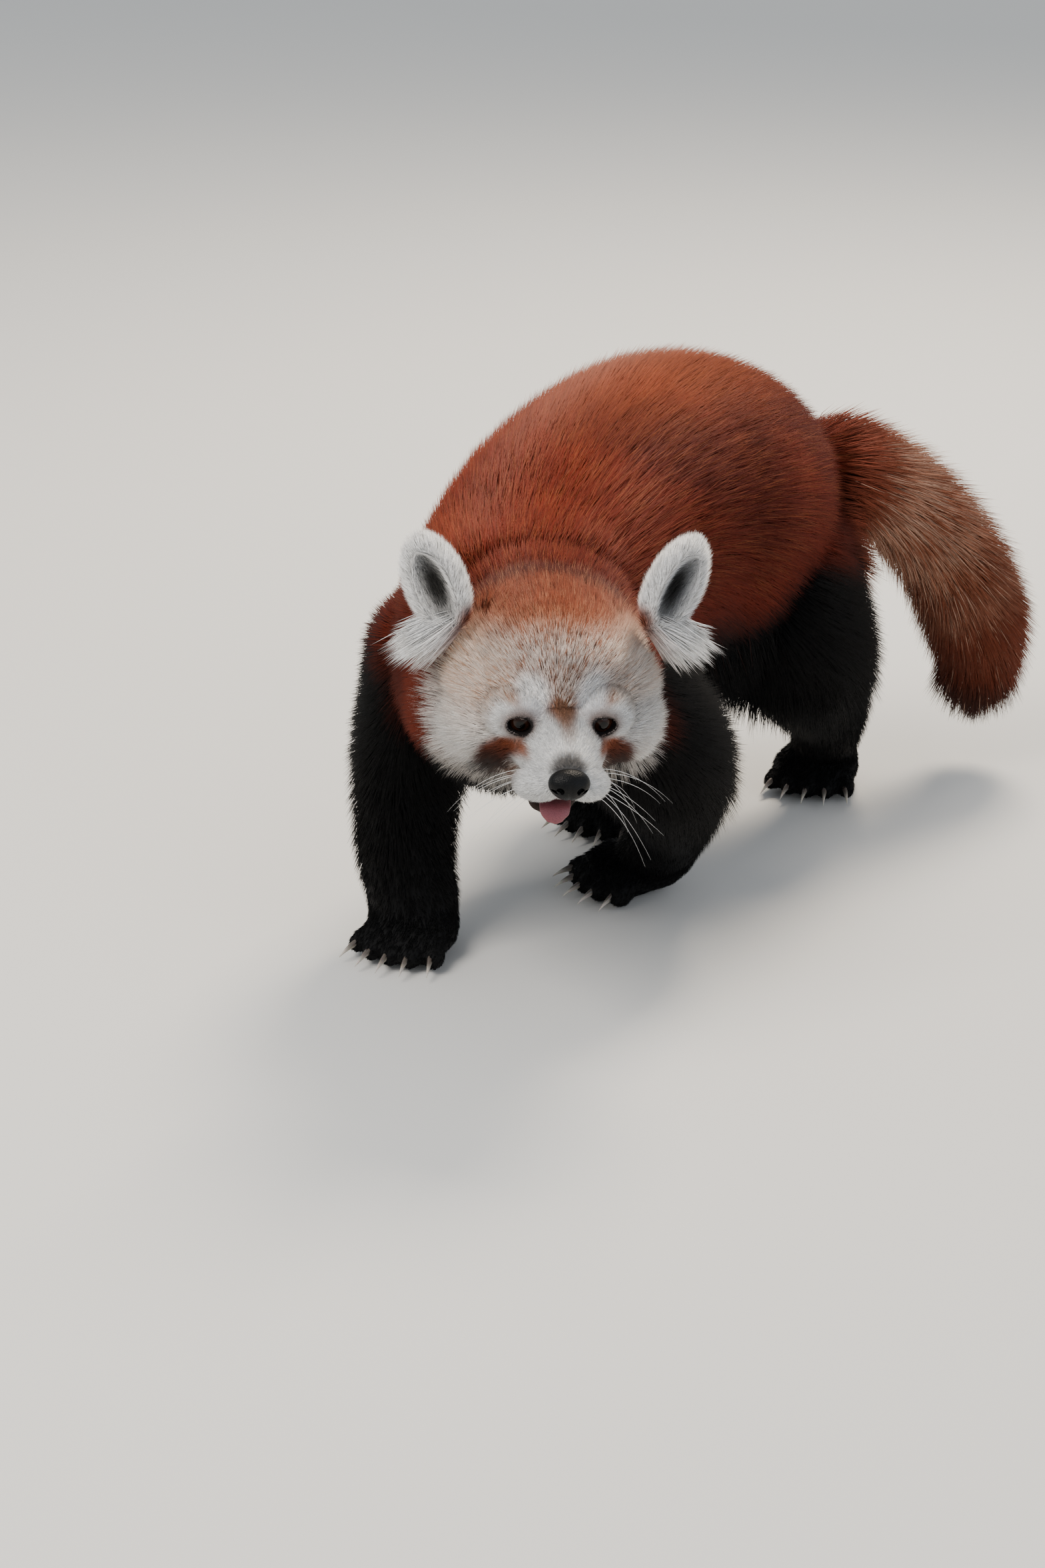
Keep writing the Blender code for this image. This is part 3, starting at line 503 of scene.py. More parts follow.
def wobble(points, size, seed=0):
    """A smooth irregular value between about -1 and 1 whose bumps are about this size."""
    total = np.zeros(len(points))
    for i, wave in enumerate(np.roll(WAVES, seed, axis=0)):
        total += np.sin(points @ wave * (2.2 / size) + 1.7 * i + seed)
    return total / 3


def blend(base, mask, colour):
    """Lays a colour over others where the mask says."""
    return base + (np.array(linear(colour)) - base) * mask[:, None]


def nearest_on(points, line):
    """How far along a line of points the nearest one is, from 0 to 1, and the distance to it."""
    best = np.full(len(points), 1e9)
    where = np.zeros(len(points))
    for i, p in enumerate(line):
        distance = np.linalg.norm(points - p[:3], axis=1)
        closer = distance < best
        best[closer] = distance[closer]
        where[closer] = i / (len(line) - 1)
    return where, best


TAIL_LINE = smooth_line(TAIL)
SPINE_LINE = smooth_line(SPINE)


def tail_share(points):
    """1 on the tail, 0 on the body, and how far along the tail."""
    where, distance = nearest_on(points, TAIL_LINE)
    return ramp(where, 0.10, 0.24) * (distance < 0.075), where


def ear_local(points, side):
    """Places in an ear's own axes, from points in the head's."""
    place, length = ear_axes(side)
    turn = np.array(place.inverted())
    return points @ turn[:3, :3].T + turn[:3, 3], length


def head_share(points):
    """1 on the head, 0 on the body."""
    local = head_axes(points)
    middle = np.linalg.norm((local - np.array((0, 0.040, 0.010))) / np.array((1, 1.0, 1)), axis=1)
    share = (1 - ramp(local[:, 1], 0.070, 0.092)) * (1 - ramp(middle, 0.090, 0.105))
    for side in (-1, 1):
        near, length = ear_local(local, side)
        cup = (near[:, 2] > -length / 2) * (np.abs(near[:, 0]) < 0.027) * (np.abs(near[:, 1]) < 0.020)
        share = np.maximum(share, cup)
    return share


# The tear mark's run from under the eye down the cheek: place across, height, radius, colour
TEAR_MARKS = (
    (0.0225, -0.0118, 0.0048, "#9a5a3c"),
    (0.0292, -0.0158, 0.0068, "#8c4a2e"),
    (0.0335, -0.0225, 0.0080, "#6b3522"),
    (0.0335, -0.0295, 0.0088, "#3d2117"),
    (0.0310, -0.0360, 0.0092, "#2a1813"),
)


def tear_spot(points, side, place, height, radius):
    """1 on one spot of a tear mark, from places in the head's axes."""
    return within(points, (side * place, 0.018, height), (radius, 0.045, radius * 1.1), 0.45)


def tear_share(points):
    """1 on the tear marks, from places in the head's axes."""
    share = np.zeros(len(points))
    for side in (-1, 1):
        for spot in TEAR_MARKS:
            share = np.maximum(share, tear_spot(points, side, *spot[:3]))
    return share


def face_colours(points):
    """The markings of the head, from places in its own axes."""
    x, y, z = np.abs(points[:, 0]), points[:, 1], points[:, 2]
    rise = rise_of(points)
    grain = wobble(points, 0.010, 1) * 0.0025
    colours = np.tile(linear("#8e5c42"), (len(points), 1))
    colours = blend(colours, ramp(x, 0.018, 0.044), "#cdb3a0")
    colours = blend(colours, ramp(rise + grain, 0.034, 0.062), "#7d3d25")
    colours = blend(colours, ramp(y + z * 0.4, 0.078, 0.095) * ramp(rise, 0.030, 0.05), "#4c1c12")
    cheek = ramp(x, 0.022, 0.034) * (1 - ramp(z + grain, -0.004, 0.014))
    colours = blend(colours, cheek, "#e6e4e1")
    peach = within(points, (-0.044, 0.036, 0.010), (0.024, 0.042, 0.020), 0.7)
    colours = blend(colours, peach * 0.6, "#d09a74")
    ruff = ramp(y + grain, 0.046, 0.058) * (1 - ramp(z, 0.016, 0.030)) * ramp(x - 0.4 * z, 0.020, 0.035)
    colours = blend(colours, ruff, "#6c2c1b")
    colours = blend(colours, ramp(-z, 0.036, 0.047) * ramp(y, 0.010, 0.024), "#171211")
    muzzle = (1 - ramp(y, 0.000, 0.012)) * (1 - ramp(z - 0.25 * x, 0.000, 0.006))
    colours = blend(colours, muzzle, "#ececeb")
    streak = within(points, (0.0015, 0.000, 0.012), (0.0060, 0.030, 0.018), 0.5)
    colours = blend(colours, streak * 0.85, "#8b6650")
    for side in (-1, 1):
        spot = within(points, (side * 0.0160, 0.008, 0.0138), (0.0095, 0.030, 0.0105), 0.42)
        colours = blend(colours, spot, "#ededee")
        for *spot, colour in TEAR_MARKS:
            colours = blend(colours, tear_spot(points, side, *spot), colour)
        rim = within(points, (side * (EYE_SPACING / 2 + 0.001), 0.0, -0.0005), (0.0112, 0.016, 0.0094), 0.35)
        colours = blend(colours, rim * 0.8, "#5b3a2a")
    nose = within(points, (0, -0.0390, -0.0125), (0.0100, 0.0115, 0.0085), 0.40)
    return blend(colours, nose * 0.9, "#26201e")


def ear_colours(colours, points):
    """White ears with a dark slot inside and a dark red back."""
    for side in (-1, 1):
        local, length = ear_local(points, side)
        inner = side * local[:, 0] * -1
        foot = -length / 2 + 0.004 + 0.010 * ramp(-inner, 0.0, 0.012)
        ear = ramp(local[:, 2], foot - 0.004, foot + 0.006)
        ear = ear * (np.abs(local[:, 0]) < 0.027) * (np.abs(local[:, 1]) < 0.020)
        colours = blend(colours, ear, "#f1f0ee")
        middle = (0, -0.008, -0.004)
        back = ear * ramp(-local[:, 1], 0.001, 0.005)
        back = back * within(local, middle, (0.013, 0.012, length * 0.42), 0.3)
        colours = blend(colours, back, "#6a2b18")
        slot = within(local, (0.0, 0.004, -0.003), (0.0078, 0.018, length * 0.28), 0.6)
        colours = blend(colours, (local[:, 1] > -0.003) * slot * ear, "#2c2b29")
    return colours


def rust_height(points):
    """How high a place lies over the edge between the black legs and belly and the rust back."""
    x, y, z = points.T
    shoulder = 0.024 * np.exp(-(((y - 0.075) / 0.045) ** 2)) * ramp(np.abs(x - 0.010), 0.045, 0.075)
    hip = 0.016 * np.exp(-(((y - 0.310) / 0.045) ** 2))
    flank = 0.010 * np.exp(-(((y - 0.230) / 0.04) ** 2))
    return z - 0.196 - 0.008 * wobble(points, 0.040, 4) - hip + flank - shoulder


def body_colours(points):
    """The markings of neck, trunk, legs and tail, with a painted highlight on top of the back and painted
    shade on the tail's inner side.
    """
    x, y, z = points.T
    colours = np.tile(linear("#6a2413"), (len(points), 1))
    colours = blend(colours, ramp(wobble(points, 0.055, 2), 0.0, 0.9) * 0.5, "#85391f")
    colours = blend(colours, ramp(wobble(points, 0.070, 3), 0.1, 0.9) * 0.6, "#43130c")
    saddle = np.exp(-(((y - 0.235) / 0.030) ** 2)) * ramp(z, 0.20, 0.28)
    colours = blend(colours, saddle * 0.6, "#3c0f09")
    # The top of the back is painted lighter from 29 to 34.5 cm up: a painted highlight of light from above.
    colours = blend(colours, ramp(z, 0.290, 0.345) * 0.7, "#a25a3e")
    colours = blend(colours, 1 - ramp(rust_height(points), -0.014, 0.016), "#070708")
    colours = blend(colours, within(points, (-0.026, 0.004, 0.178), (0.021, 0.023, 0.025), 0.35), "#5c2316")
    tail, along = tail_share(points)
    inner = TAIL_LINE[np.round(along * (len(TAIL_LINE) - 1)).astype(int), 0] - x
    hue = np.tile(linear("#84503a"), (len(points), 1))
    hue = blend(hue, ramp(np.sin(along * 2 * math.pi * 6.5 + 0.6), -0.2, 0.9) * 0.5, "#ad8068")
    hue = blend(hue, (1 - ramp(along, 0.16, 0.34)) * 0.8, "#6f2a17")
    hue = blend(hue, ramp(along, 0.38, 0.80) * 0.85, "#5a2415")
    # The tail's inner side, towards smaller x, is painted darker from near its root to its middle: painted
    # shade.
    hue = blend(hue, ramp(inner, -0.010, 0.018) * ramp(along, 0.15, 0.45) * 0.6, "#33140d")
    hue = blend(hue, ramp(along, 0.84, 1.0) * 0.8, "#1f0d0a")
    return colours + (hue - colours) * tail[:, None]


def markings(points):
    """The coat's colour at places on the skin."""
    local = head_axes(points)
    share = head_share(points)
    colours = body_colours(points)
    face = face_colours(local)
    return ear_colours(colours + (face - colours) * share[:, None], local)


def paint(mesh, name, colours):
    """Stores a colour for each vertex."""
    layer = mesh.color_attributes.new(name, "FLOAT_COLOR", "POINT")
    values = np.ones((len(mesh.vertices), 4), np.float32)
    values[:, :3] = np.clip(colours, 0, 1)
    layer.data.foreach_set("color", values.ravel())


# The bare lips: their middle and their reach, in the head's axes
LIPS = ((-0.0050, -0.0150, -0.0412), (0.0200, 0.0185, 0.0072))


def skin_colours():
    """The markings, darker as under-wool is, with bare skin at the lids and lips."""
    colours = markings(skin_points) * 0.6
    local = head_axes(skin_points)
    for side in (-1, 1):
        eye = (side * (EYE_SPACING / 2 + 0.0012), 0, -SLIT_DROP)
        colours = blend(colours, within(local, eye, (0.0088, 0.0120, 0.0068), 0.08), "#120d0c")
    return blend(colours, within(local, *LIPS, 0.15), "#2a1d19")


paint(skin.data, "Marking", skin_colours())
hide, tree, shader = new_material("skin_and_under_wool")
marking = add_node(tree, "Attribute", attribute_name="Marking")
grain = pattern(tree, "TexNoise", 900.0, Detail=3.0)
tone = add_node(tree, "HueSaturation", {"Color": marking.outputs["Color"]})
light = add_node(tree, "MapRange", {"Value": grain.outputs["Fac"], "To Min": 0.6, "To Max": 1.4})
tree.links.new(light.outputs["Result"], tone.inputs["Value"])
tree.links.new(tone.outputs["Color"], shader.inputs["Base Color"])
roughened(tree, grain.outputs["Fac"], 0.0004, 0.6)
shader.inputs["Roughness"].default_value = 0.8
shader.inputs["Specular IOR Level"].default_value = 0.2
finished(skin, hide, IN_FRAME)
SKIN_NODES = [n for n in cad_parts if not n.startswith(("eye_", "tongue", "nose"))]
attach(skin, "root")
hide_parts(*SKIN_NODES)

# Eyes
# Dark, wet eyes with a brown iris and a round pupil. Each is a whole eyeball in one piece,
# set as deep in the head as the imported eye, and looks forwards and a little down.
PUPIL = 0.0030
IRIS = 0.0064


def make_eye(side):
    """An eyeball with its iris and pupil in front."""
    bm = bmesh.new()
    bmesh.ops.create_uvsphere(bm, u_segments=48, v_segments=32, radius=EYE_RADIUS - 0.0001)
    look = Matrix.Rotation(math.radians(100), 4, "X") @ Matrix.Rotation(side * math.radians(10), 4, "Y")
    place = Matrix.Translation((side * EYE_SPACING / 2, EYE_SINK, 0))
    name = "eye_of_left" if side > 0 else "eye_of_right"
    eye = object_from(bm, name)
    radii = np.array([math.hypot(v.co.x, v.co.y) if v.co.z > 0 else 1 for v in eye.data.vertices])
    colours = np.tile(linear("#2e180e"), (len(radii), 1))
    colours = blend(colours, ramp(radii, IRIS * 0.9, IRIS * 1.05), "#080504")
    colours = blend(colours, 1 - ramp(radii, PUPIL * 0.9, PUPIL * 1.1), "#010101")
    paint(eye.data, "Iris", colours)
    finished(eye, wet_eye, IN_FRAME @ HEAD_PLACE @ place @ look)
    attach(eye, "root")
    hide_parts("eye_left" if side > 0 else "eye_right")


wet_eye, tree, shader = new_material("wet_cornea_over_brown_iris")
iris = add_node(tree, "Attribute", attribute_name="Iris")
flecks = pattern(tree, "TexNoise", 1500.0)
shades = {"Fac": 0.25, "Color1": iris.outputs["Color"], "Color2": flecks.outputs["Color"]}
tone = add_node(tree, "MixRGB", shades, blend_type="MULTIPLY")
tree.links.new(tone.outputs["Color"], shader.inputs["Base Color"])
shader.inputs["Roughness"].default_value = 0.06
shader.inputs["Specular IOR Level"].default_value = 0.22
for side in (-1, 1):
    make_eye(side)

# Nose leather
# The bare black pad at the end of the muzzle, pebbled and a little wet, with a groove down the
# middle and two comma-shaped nostrils that open to the sides.
NOSE_CENTRE = Vector((0.0, -0.0410, -0.0203))
NOSE_RADII = (0.0118, 0.0085, 0.0090)


def make_nose():
    """A rounded pad, wider above, cut by the nostrils."""
    bm = bmesh.new()
    bmesh.ops.create_uvsphere(bm, u_segments=64, v_segments=48, radius=1)
    for vert in bm.verts:
        x, y, z = vert.co
        x *= 1 + 0.10 * z
        groove = math.exp(-((x / 0.07) ** 2)) * (1 if y < 0 else 0) * max(0.0, 0.55 - z)
        y += 0.10 * groove
        vert.co = (x * NOSE_RADII[0], y * NOSE_RADII[1], z * NOSE_RADII[2])
    nose = moved(object_from(bm, "nose_leather"), Matrix.Translation(NOSE_CENTRE))
    holes = []
    for side in (-1, 1):
        hole = NOSE_CENTRE + Vector((side * 0.0058, -0.0082, -0.0010))
        holes.append(egg(hole, (0.0024, 0.0042, 0.0021), (0, side * math.radians(-25), 0), 24, 16))
        slot = NOSE_CENTRE + Vector((side * 0.0086, -0.0064, -0.0018))
        holes.append(egg(slot, (0.0036, 0.0040, 0.0010), (0, side * math.radians(-12), 0), 24, 16))
    return combine(nose, [joined(holes, "holes")], "DIFFERENCE")


nose = make_nose()
leather, tree, shader = new_material("black_nose_leather")
pebbles = pattern(tree, "TexVoronoi", 1400.0)
roughened(tree, pebbles.outputs["Distance"], 0.00025, 0.7)
two_tones(tree, pebbles.outputs["Distance"], "#0a0b0c", "#040505")
shader.inputs["Roughness"].default_value = 0.36
shader.inputs["Specular IOR Level"].default_value = 0.16
finished(nose, leather, IN_FRAME @ HEAD_PLACE)
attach(nose, "root")
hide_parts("nose")

# Tongue
# A thin wet tongue that lies in the open mouth and hangs a little over the lower lip.
TONGUE = [
    (-0.001, 0.006, -0.0375, 0.0080, 0.0016),
    (-0.003, -0.014, -0.0380, 0.0086, 0.0017),
    (-0.005, -0.0275, -0.0388, 0.0088, 0.0017),
    (-0.0055, -0.0320, -0.0425, 0.0080, 0.0016),
    (-0.0056, -0.0335, -0.0460, 0.0048, 0.0014),
]
tongue = loft(TONGUE)
tongue.name = "tongue_flesh"
for vert in tongue.data.vertices:
    middle = math.exp(-(((vert.co.x + 0.005) / 0.0016) ** 2))
    vert.co.z -= 0.0006 * middle
flesh, tree, shader = new_material("wet_tongue")
papillae = pattern(tree, "TexVoronoi", 2200.0)
two_tones(tree, papillae.outputs["Distance"], "#86444c", "#5f2c33")
roughened(tree, papillae.outputs["Distance"], 0.0002, 0.5)
shader.inputs["Roughness"].default_value = 0.38
finished(tongue, flesh, IN_FRAME @ HEAD_PLACE)
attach(tongue, "root")
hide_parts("tongue")

# Claws
# Twenty curved horn claws, pale towards the point, each sunk in the end of its toe.
CLAW_LENGTH = 0.0165
CLAW_RADIUS = 0.0028
CLAW_POINT = 0.0003
claws = []
for leg in PAWS:
    for i in range(TOES):
        spread = (i - (TOES - 1) / 2) / ((TOES - 1) / 2)
        bm = bmesh.new()
        bmesh.ops.create_cone(
            bm, cap_ends=True, segments=16, radius1=CLAW_RADIUS, radius2=CLAW_POINT, depth=CLAW_LENGTH
        )
        long_edges = [e for e in bm.edges if abs(e.verts[0].co.z - e.verts[1].co.z) > CLAW_LENGTH / 2]
        bmesh.ops.subdivide_edges(bm, edges=long_edges, cuts=9)
        for vert in bm.verts:
            along = vert.co.z / CLAW_LENGTH + 0.5
            vert.co.x *= 0.72 * (1 + 0.5 * along * (1 - along))
            vert.co.y = vert.co.y * (1 + 0.5 * along * (1 - along)) - 0.0045 * along**2
        bmesh.ops.recalc_face_normals(bm, faces=bm.faces)
        root = Matrix.Translation((spread * 0.0288, -0.0400 + 0.0090 * spread**2, 0.0100))
        turn = Matrix.Rotation(spread * 0.35, 4, "Z") @ Matrix.Rotation(math.radians(96), 4, "X")
        claws.append(moved(object_from(bm, "claw"), paw_place(leg) @ root @ turn))
for claw in claws:
    heights = np.array([v.co.z for v in claw.data.vertices])
    dull = np.tile(linear("#5b524b"), (len(heights), 1))
    paint(claw.data, "Horn", blend(dull, 1 - ramp(heights, 0.0065, 0.0110), "#d3cabd"))
claws = joined(claws, "claws")
horn, tree, shader = new_material("grown_horn")
tint = add_node(tree, "Attribute", attribute_name="Horn")
grooves = pattern(tree, "TexNoise", 700.0)
shades = {"Fac": 0.35, "Color1": tint.outputs["Color"], "Color2": grooves.outputs["Color"]}
tone = add_node(tree, "MixRGB", shades, blend_type="MULTIPLY")
tree.links.new(tone.outputs["Color"], shader.inputs["Base Color"])
shader.inputs["Roughness"].default_value = 0.35
finished(claws, horn, IN_FRAME)
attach(claws, "root")
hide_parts(*[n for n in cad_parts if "paw" in n])

# Coat
# Long guard hair in thin pointed tufts that overlap and follow the lie of the coat: back along the
# body, down the legs, out to the tip of the tail, and away from the nose over the head.
# Each tuft is a closed three-sided blade that is rooted in the skin: straight on the trunk, legs,
# ears and head, and bent towards its lie on the belly, the tail, the ruff and the ear tufts.
DRAW = np.random.default_rng(5)
# How deep a tuft is rooted, the side of its patch on the unrolled skin, and the tufts in a clump
SINK = 0.0012
PATCH = 0.003
CLUMP = 9
FEWER = 1.0


def unit(ways):
    """The same ways with length 1."""
    return ways / np.maximum(np.linalg.norm(ways, axis=1, keepdims=True), 1e-9)


def scatter(count, weight):
    """Random roots on the skin, spread by area and weight: places, normals."""
    a, b, c = (skin_points[skin_corners[:, i]] for i in range(3))
    areas = np.linalg.norm(np.cross(b - a, c - a), axis=1) / 2 * weight((a + b + c) / 3)
    chosen = np.searchsorted(np.cumsum(areas) / areas.sum(), DRAW.random(count))
    chosen = np.minimum(chosen, len(areas) - 1)
    u, v = DRAW.random(count), DRAW.random(count)
    flip = u + v > 1
    u[flip], v[flip] = 1 - u[flip], 1 - v[flip]
    shares = np.stack([1 - u - v, u, v], axis=1)
    picked = skin_corners[chosen]
    places = (skin_points[picked] * shares[:, :, None]).sum(axis=1)
    return places, unit((skin_normals[picked] * shares[:, :, None]).sum(axis=1))


def on_surface(ways, normals):
    """The ways laid along the surface."""
    return unit(ways - normals * (ways * normals).sum(axis=1, keepdims=True))


def read_along(line, where):
    """The way along a line at shares of its length."""
    return tangents(line)[np.round(where * (len(line) - 1)).astype(int)]


def coat_way(points, normals):
    """The lie of the coat on the skin."""
    local = head_axes(points)
    head_way = unit(local - np.array((0, -0.046, -0.016))) @ HEAD_TURN
    way = read_along(SPINE_LINE, nearest_on(points, SPINE_LINE)[0])
    flank = ramp(0.27 - points[:, 2], 0.0, 0.08)
    way = unit(way + np.array((0, 0, -0.8)) * flank[:, None])
    low = 1 - ramp(points[:, 2], 0.085, 0.155)
    way = way * (1 - low[:, None]) + np.array((0, 0.25, -1.0)) * low[:, None]
    toe = 1 - ramp(points[:, 2], 0.020, 0.034)
    way = way + (np.array((0, -0.9, -0.5)) - way) * toe[:, None]
    tail, along = tail_share(points)
    way = way + (read_along(TAIL_LINE, along) - way) * tail[:, None]
    way = way + (head_way - way) * head_share(points)[:, None]
    for side in (-1, 1):
        from_eye = local - np.array((side * (EYE_SPACING / 2 + 0.001), 0.0045, -SLIT_DROP))
        share = 1 - ramp(np.linalg.norm(from_eye, axis=1), 0.008, 0.022)
        way = way + (unit(from_eye) @ HEAD_TURN - way) * share[:, None]
        place, length = ear_axes(side)
        near, _ = ear_local(local, side)
        on_ear = ramp(near[:, 2], -length / 2 - 0.002, -length / 2 + 0.008)
        on_ear = on_ear * (np.abs(near[:, 0]) < 0.027) * (np.abs(near[:, 1]) < 0.020)
        out = np.stack([near[:, 0] * 30, near[:, 1] * 6, np.full(len(near), 0.8)], axis=1)
        ear_way = unit(out) @ np.array((HEAD_PLACE @ place).to_3x3()).T
        way = way + (ear_way - way) * on_ear[:, None]
    return on_surface(way, normals)


def blade_pattern(rings):
    """Corner numbers of one tuft's triangles, and where each corner lies in its patch."""
    faces = [((2, 0.0), (1, 0.0), (0, 0.0))]
    tip = 3 * rings
    for ring in range(rings - 1):
        for k in range(3):
            low, side = 3 * ring, (k + 1) % 3
            faces.append(((low + k, k), (low + side, k + 1), (low + 3 + side, k + 1)))
            faces.append(((low + k, k), (low + 3 + side, k + 1), (low + 3 + k, k)))
    for k in range(3):
        low, side = 3 * (rings - 1), (k + 1) % 3
        faces.append(((low + k, k), (low + side, k + 1), (tip, k + 0.5)))
    corners = np.array([[c[0] for c in face] for face in faces])
    across = np.array([[c[1] for c in face] for face in faces]) / 3
    along = np.minimum(corners // 3, rings) / rings
    across[0], along[0] = (0.0, 1.0, 0.5), (0.0, 0.0, 0.08)
    return corners, np.stack([across, along], axis=2)


def clumps_of(roots):
    """For each root the number of the root that leads its clump."""
    count = max(1, len(roots) // CLUMP)
    leaders = DRAW.choice(len(roots), count, replace=False)
    tree = KDTree(count)
    for i, leader in enumerate(leaders):
        tree.insert(roots[leader], i)
    tree.balance()
    return leaders[np.array([tree.find(root)[1] for root in roots])]


def blades(roots, normals, ways, sizes, rings, clump, led_by):
    """Corner places of three-sided blades, bent from two rings on: an array of tufts by corners."""
    lengths, depths, widths = sizes
    sides = np.cross(normals, ways)
    lean = np.arcsin(np.clip(depths / lengths, 0.02, 0.95))
    pull = (roots[led_by] - roots) * clump
    fatness = {1: (1.0,), 2: (0.8, 0.9), 3: (0.75, 1.0, 0.7)}[rings]
    points = np.empty((len(roots), 3 * rings + 1, 3))
    spot = roots.copy()
    for k, share in enumerate(np.linspace(0, 1, rings + 1)):
        angle = lean * (1.55 - 1.1 * share) if rings > 1 else lean
        way = ways * np.cos(angle)[:, None] + normals * np.sin(angle)[:, None]
        if k == 0:
            spot = spot - way * SINK
        here = spot + pull * share**1.5
        if k == rings:
            points[:, -1] = here
            break
        outward = np.cross(way, sides)
        for corner in range(3):
            turn = math.radians(120 * corner + 30)
            across = sides * math.cos(turn) * 0.5 - outward * math.sin(turn) * 0.22
            points[:, 3 * k + corner] = here + across * (widths * fatness[k])[:, None]
        spot = spot + way * (lengths / rings)[:, None]
    return points


def tuft_object(name, points, tints, places, rings, material):
    """One coat piece from arrays: its blades, their colours and their patches on the unrolled skin."""
    corners, patch = blade_pattern(rings)
    count, each = points.shape[:2]
    faces = (corners[None] + (np.arange(count) * each)[:, None, None]).reshape(-1, 3)
    mesh = bpy.data.meshes.new(name)
    mesh.vertices.add(count * each)
    mesh.vertices.foreach_set("co", (points.reshape(-1, 3) + np.array(SHIFT)).astype(np.float32).ravel())
    mesh.loops.add(faces.size)
    mesh.loops.foreach_set("vertex_index", faces.ravel().astype(np.int32))
    mesh.polygons.add(len(faces))
    mesh.polygons.foreach_set("loop_start", np.arange(0, faces.size, 3, dtype=np.int32))
    mesh.polygons.foreach_set("use_smooth", np.ones(len(faces), bool))
    spots = places[:, None, None, :] + (patch[None] - 0.5) * PATCH
    layer = mesh.uv_layers.new(name="OFBake")
    layer.data.foreach_set("uv", np.clip(spots, 0, 1).astype(np.float32).ravel())
    mesh.update(calc_edges=True)
    paint(mesh, "Coat", tints.reshape(-1, 3))
    mesh.materials.append(material)
    obj = bpy.data.objects.new(name, mesh)
    bpy.context.scene.collection.objects.link(obj)
    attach(obj, "root")


def varied(values, share):
    """Values that differ from tuft to tuft."""
    return values * (1 + DRAW.uniform(-share, share, len(values)))


def read(size, points):
    """A size at places: a number, or a function of the place."""
    return size(points) if callable(size) else np.full(len(points), size)


def grow(name, count, weight, length, lift, width, material, unroll, rings=2, clump=0.35, spread=0.13,
         lie=coat_way, dark=0.70, pale=1.30, frost=None, tint=None):
    """Scatters one coat piece over the skin and makes its tufts.

    Lift is how far the tips stand off as a share of the length. Frost is the share of tufts with
    pale tips, by place, and their colour, which may go by place too.
    """
    count = int(count * FEWER)
    roots, normals = scatter(count, weight)
    ways = lie(roots, normals)
    ways = unit(ways + np.cross(normals, ways) * DRAW.normal(0, spread, count)[:, None])
    lengths = varied(read(length, roots), 0.20)
    sizes = (lengths, varied(lengths * read(lift, roots), 0.25), varied(read(width, roots), 0.25))
    led_by = clumps_of(roots)
    points = blades(roots, normals, ways, sizes, rings, clump, led_by)
    base = np.tile(linear(tint), (count, 1)) if tint else markings(roots)
    tips = base * pale
    if frost:
        frosted = DRAW.random(count) * 0.6 + DRAW.random(count)[led_by] * 0.4 < frost[0](roots)
        white = frost[1](roots) if callable(frost[1]) else np.array(linear(frost[1]))
        tips = tips + (white - tips) * frosted[:, None] * 0.75
    shade = (0.84 + 0.32 * DRAW.random(count)[led_by]) * (0.80 + 0.40 * DRAW.random(count))
    along = np.repeat(np.linspace(0, 1, rings + 1), [3] * rings + [1])[None, :, None]
    # Each tuft darkens from its tip to its root by the factor dark: painted shade deep in the coat.
    tints = (base * dark)[:, None, :] * (1 - along) + tips[:, None, :] * along
    tuft_object(name, points, tints * shade[:, None, None], unroll(roots), rings, material)


def hair_material(name, roughness, gloss):
    """Guard hair: its markings, streaked by finer hairs, with a soft gloss."""
    made, tree, shader = new_material(name)
    tint = add_node(tree, "Attribute", attribute_name="Coat")
    streaks = pattern(tree, "TexNoise", 1200.0, Detail=2.0)
    level = add_node(tree, "MapRange", {"Value": streaks.outputs["Fac"], "To Min": 0.6, "To Max": 1.4})
    tone = add_node(tree, "HueSaturation", {"Color": tint.outputs["Color"], "Value": level.outputs["Result"]})
    tree.links.new(tone.outputs["Color"], shader.inputs["Base Color"])
    shader.inputs["Roughness"].default_value = roughness
    shader.inputs["Specular IOR Level"].default_value = gloss
    return made


rust_hair = hair_material("rust_guard_hair", 0.6, 0.12)
black_hair = hair_material("black_guard_hair", 0.55, 0.12)
face_hair = hair_material("short_face_hair", 0.65, 0.20)


def around(points, line):
    """Places on the unrolled skin of a tube: the turn round its line and the way along it."""
    where, _ = nearest_on(points, line)
    index = np.round(where * (len(line) - 1)).astype(int)
    along = tangents(line)[index]
    side = unit(np.array((1.0, 0, 0)) - along * along[:, :1])
    out = points - line[index, :3]
    height = (out * np.cross(along, side)).sum(axis=1)
    turn = np.arctan2((out * side).sum(axis=1), height) / (2 * math.pi) + 0.5
    fine = where + (out * along).sum(axis=1) * 0.9
    return np.stack([turn, np.clip((fine - fine.min()) / (np.ptp(fine) + 1e-9), 0, 1)], axis=1) * 0.99 + 0.005


def spine_unrolled(points):
    """The trunk's unrolled skin."""
    return around(points, SPINE_LINE)


def tail_unrolled(points):
    """The tail's unrolled skin."""
    return around(points, TAIL_LINE)


def legs_unrolled(points):
    """Each leg's unrolled skin in its own quarter."""
    lines = [smooth_line(stations) for stations in LEGS.values()]
    nearest = np.stack([nearest_on(points, line)[1] for line in lines]).argmin(axis=0)
    places = np.zeros((len(points), 2))
    for i, line in enumerate(lines):
        mine = nearest == i
        if mine.any():
            places[mine] = around(points[mine], line) * 0.49 + np.array((i % 2, i // 2)) * 0.5
    return places


def head_unrolled(points):
    """The head's unrolled skin: the turn round its long axis and the angle from it."""
    local = head_axes(points) - np.array((0, 0.035, 0.0))
    turn = np.arctan2(local[:, 0], local[:, 2]) / (2 * math.pi) + 0.5
    back = np.arctan2(local[:, 1], np.hypot(local[:, 0], local[:, 2])) / math.pi + 0.5
    return np.stack([turn, back], axis=1) * 0.99 + 0.005


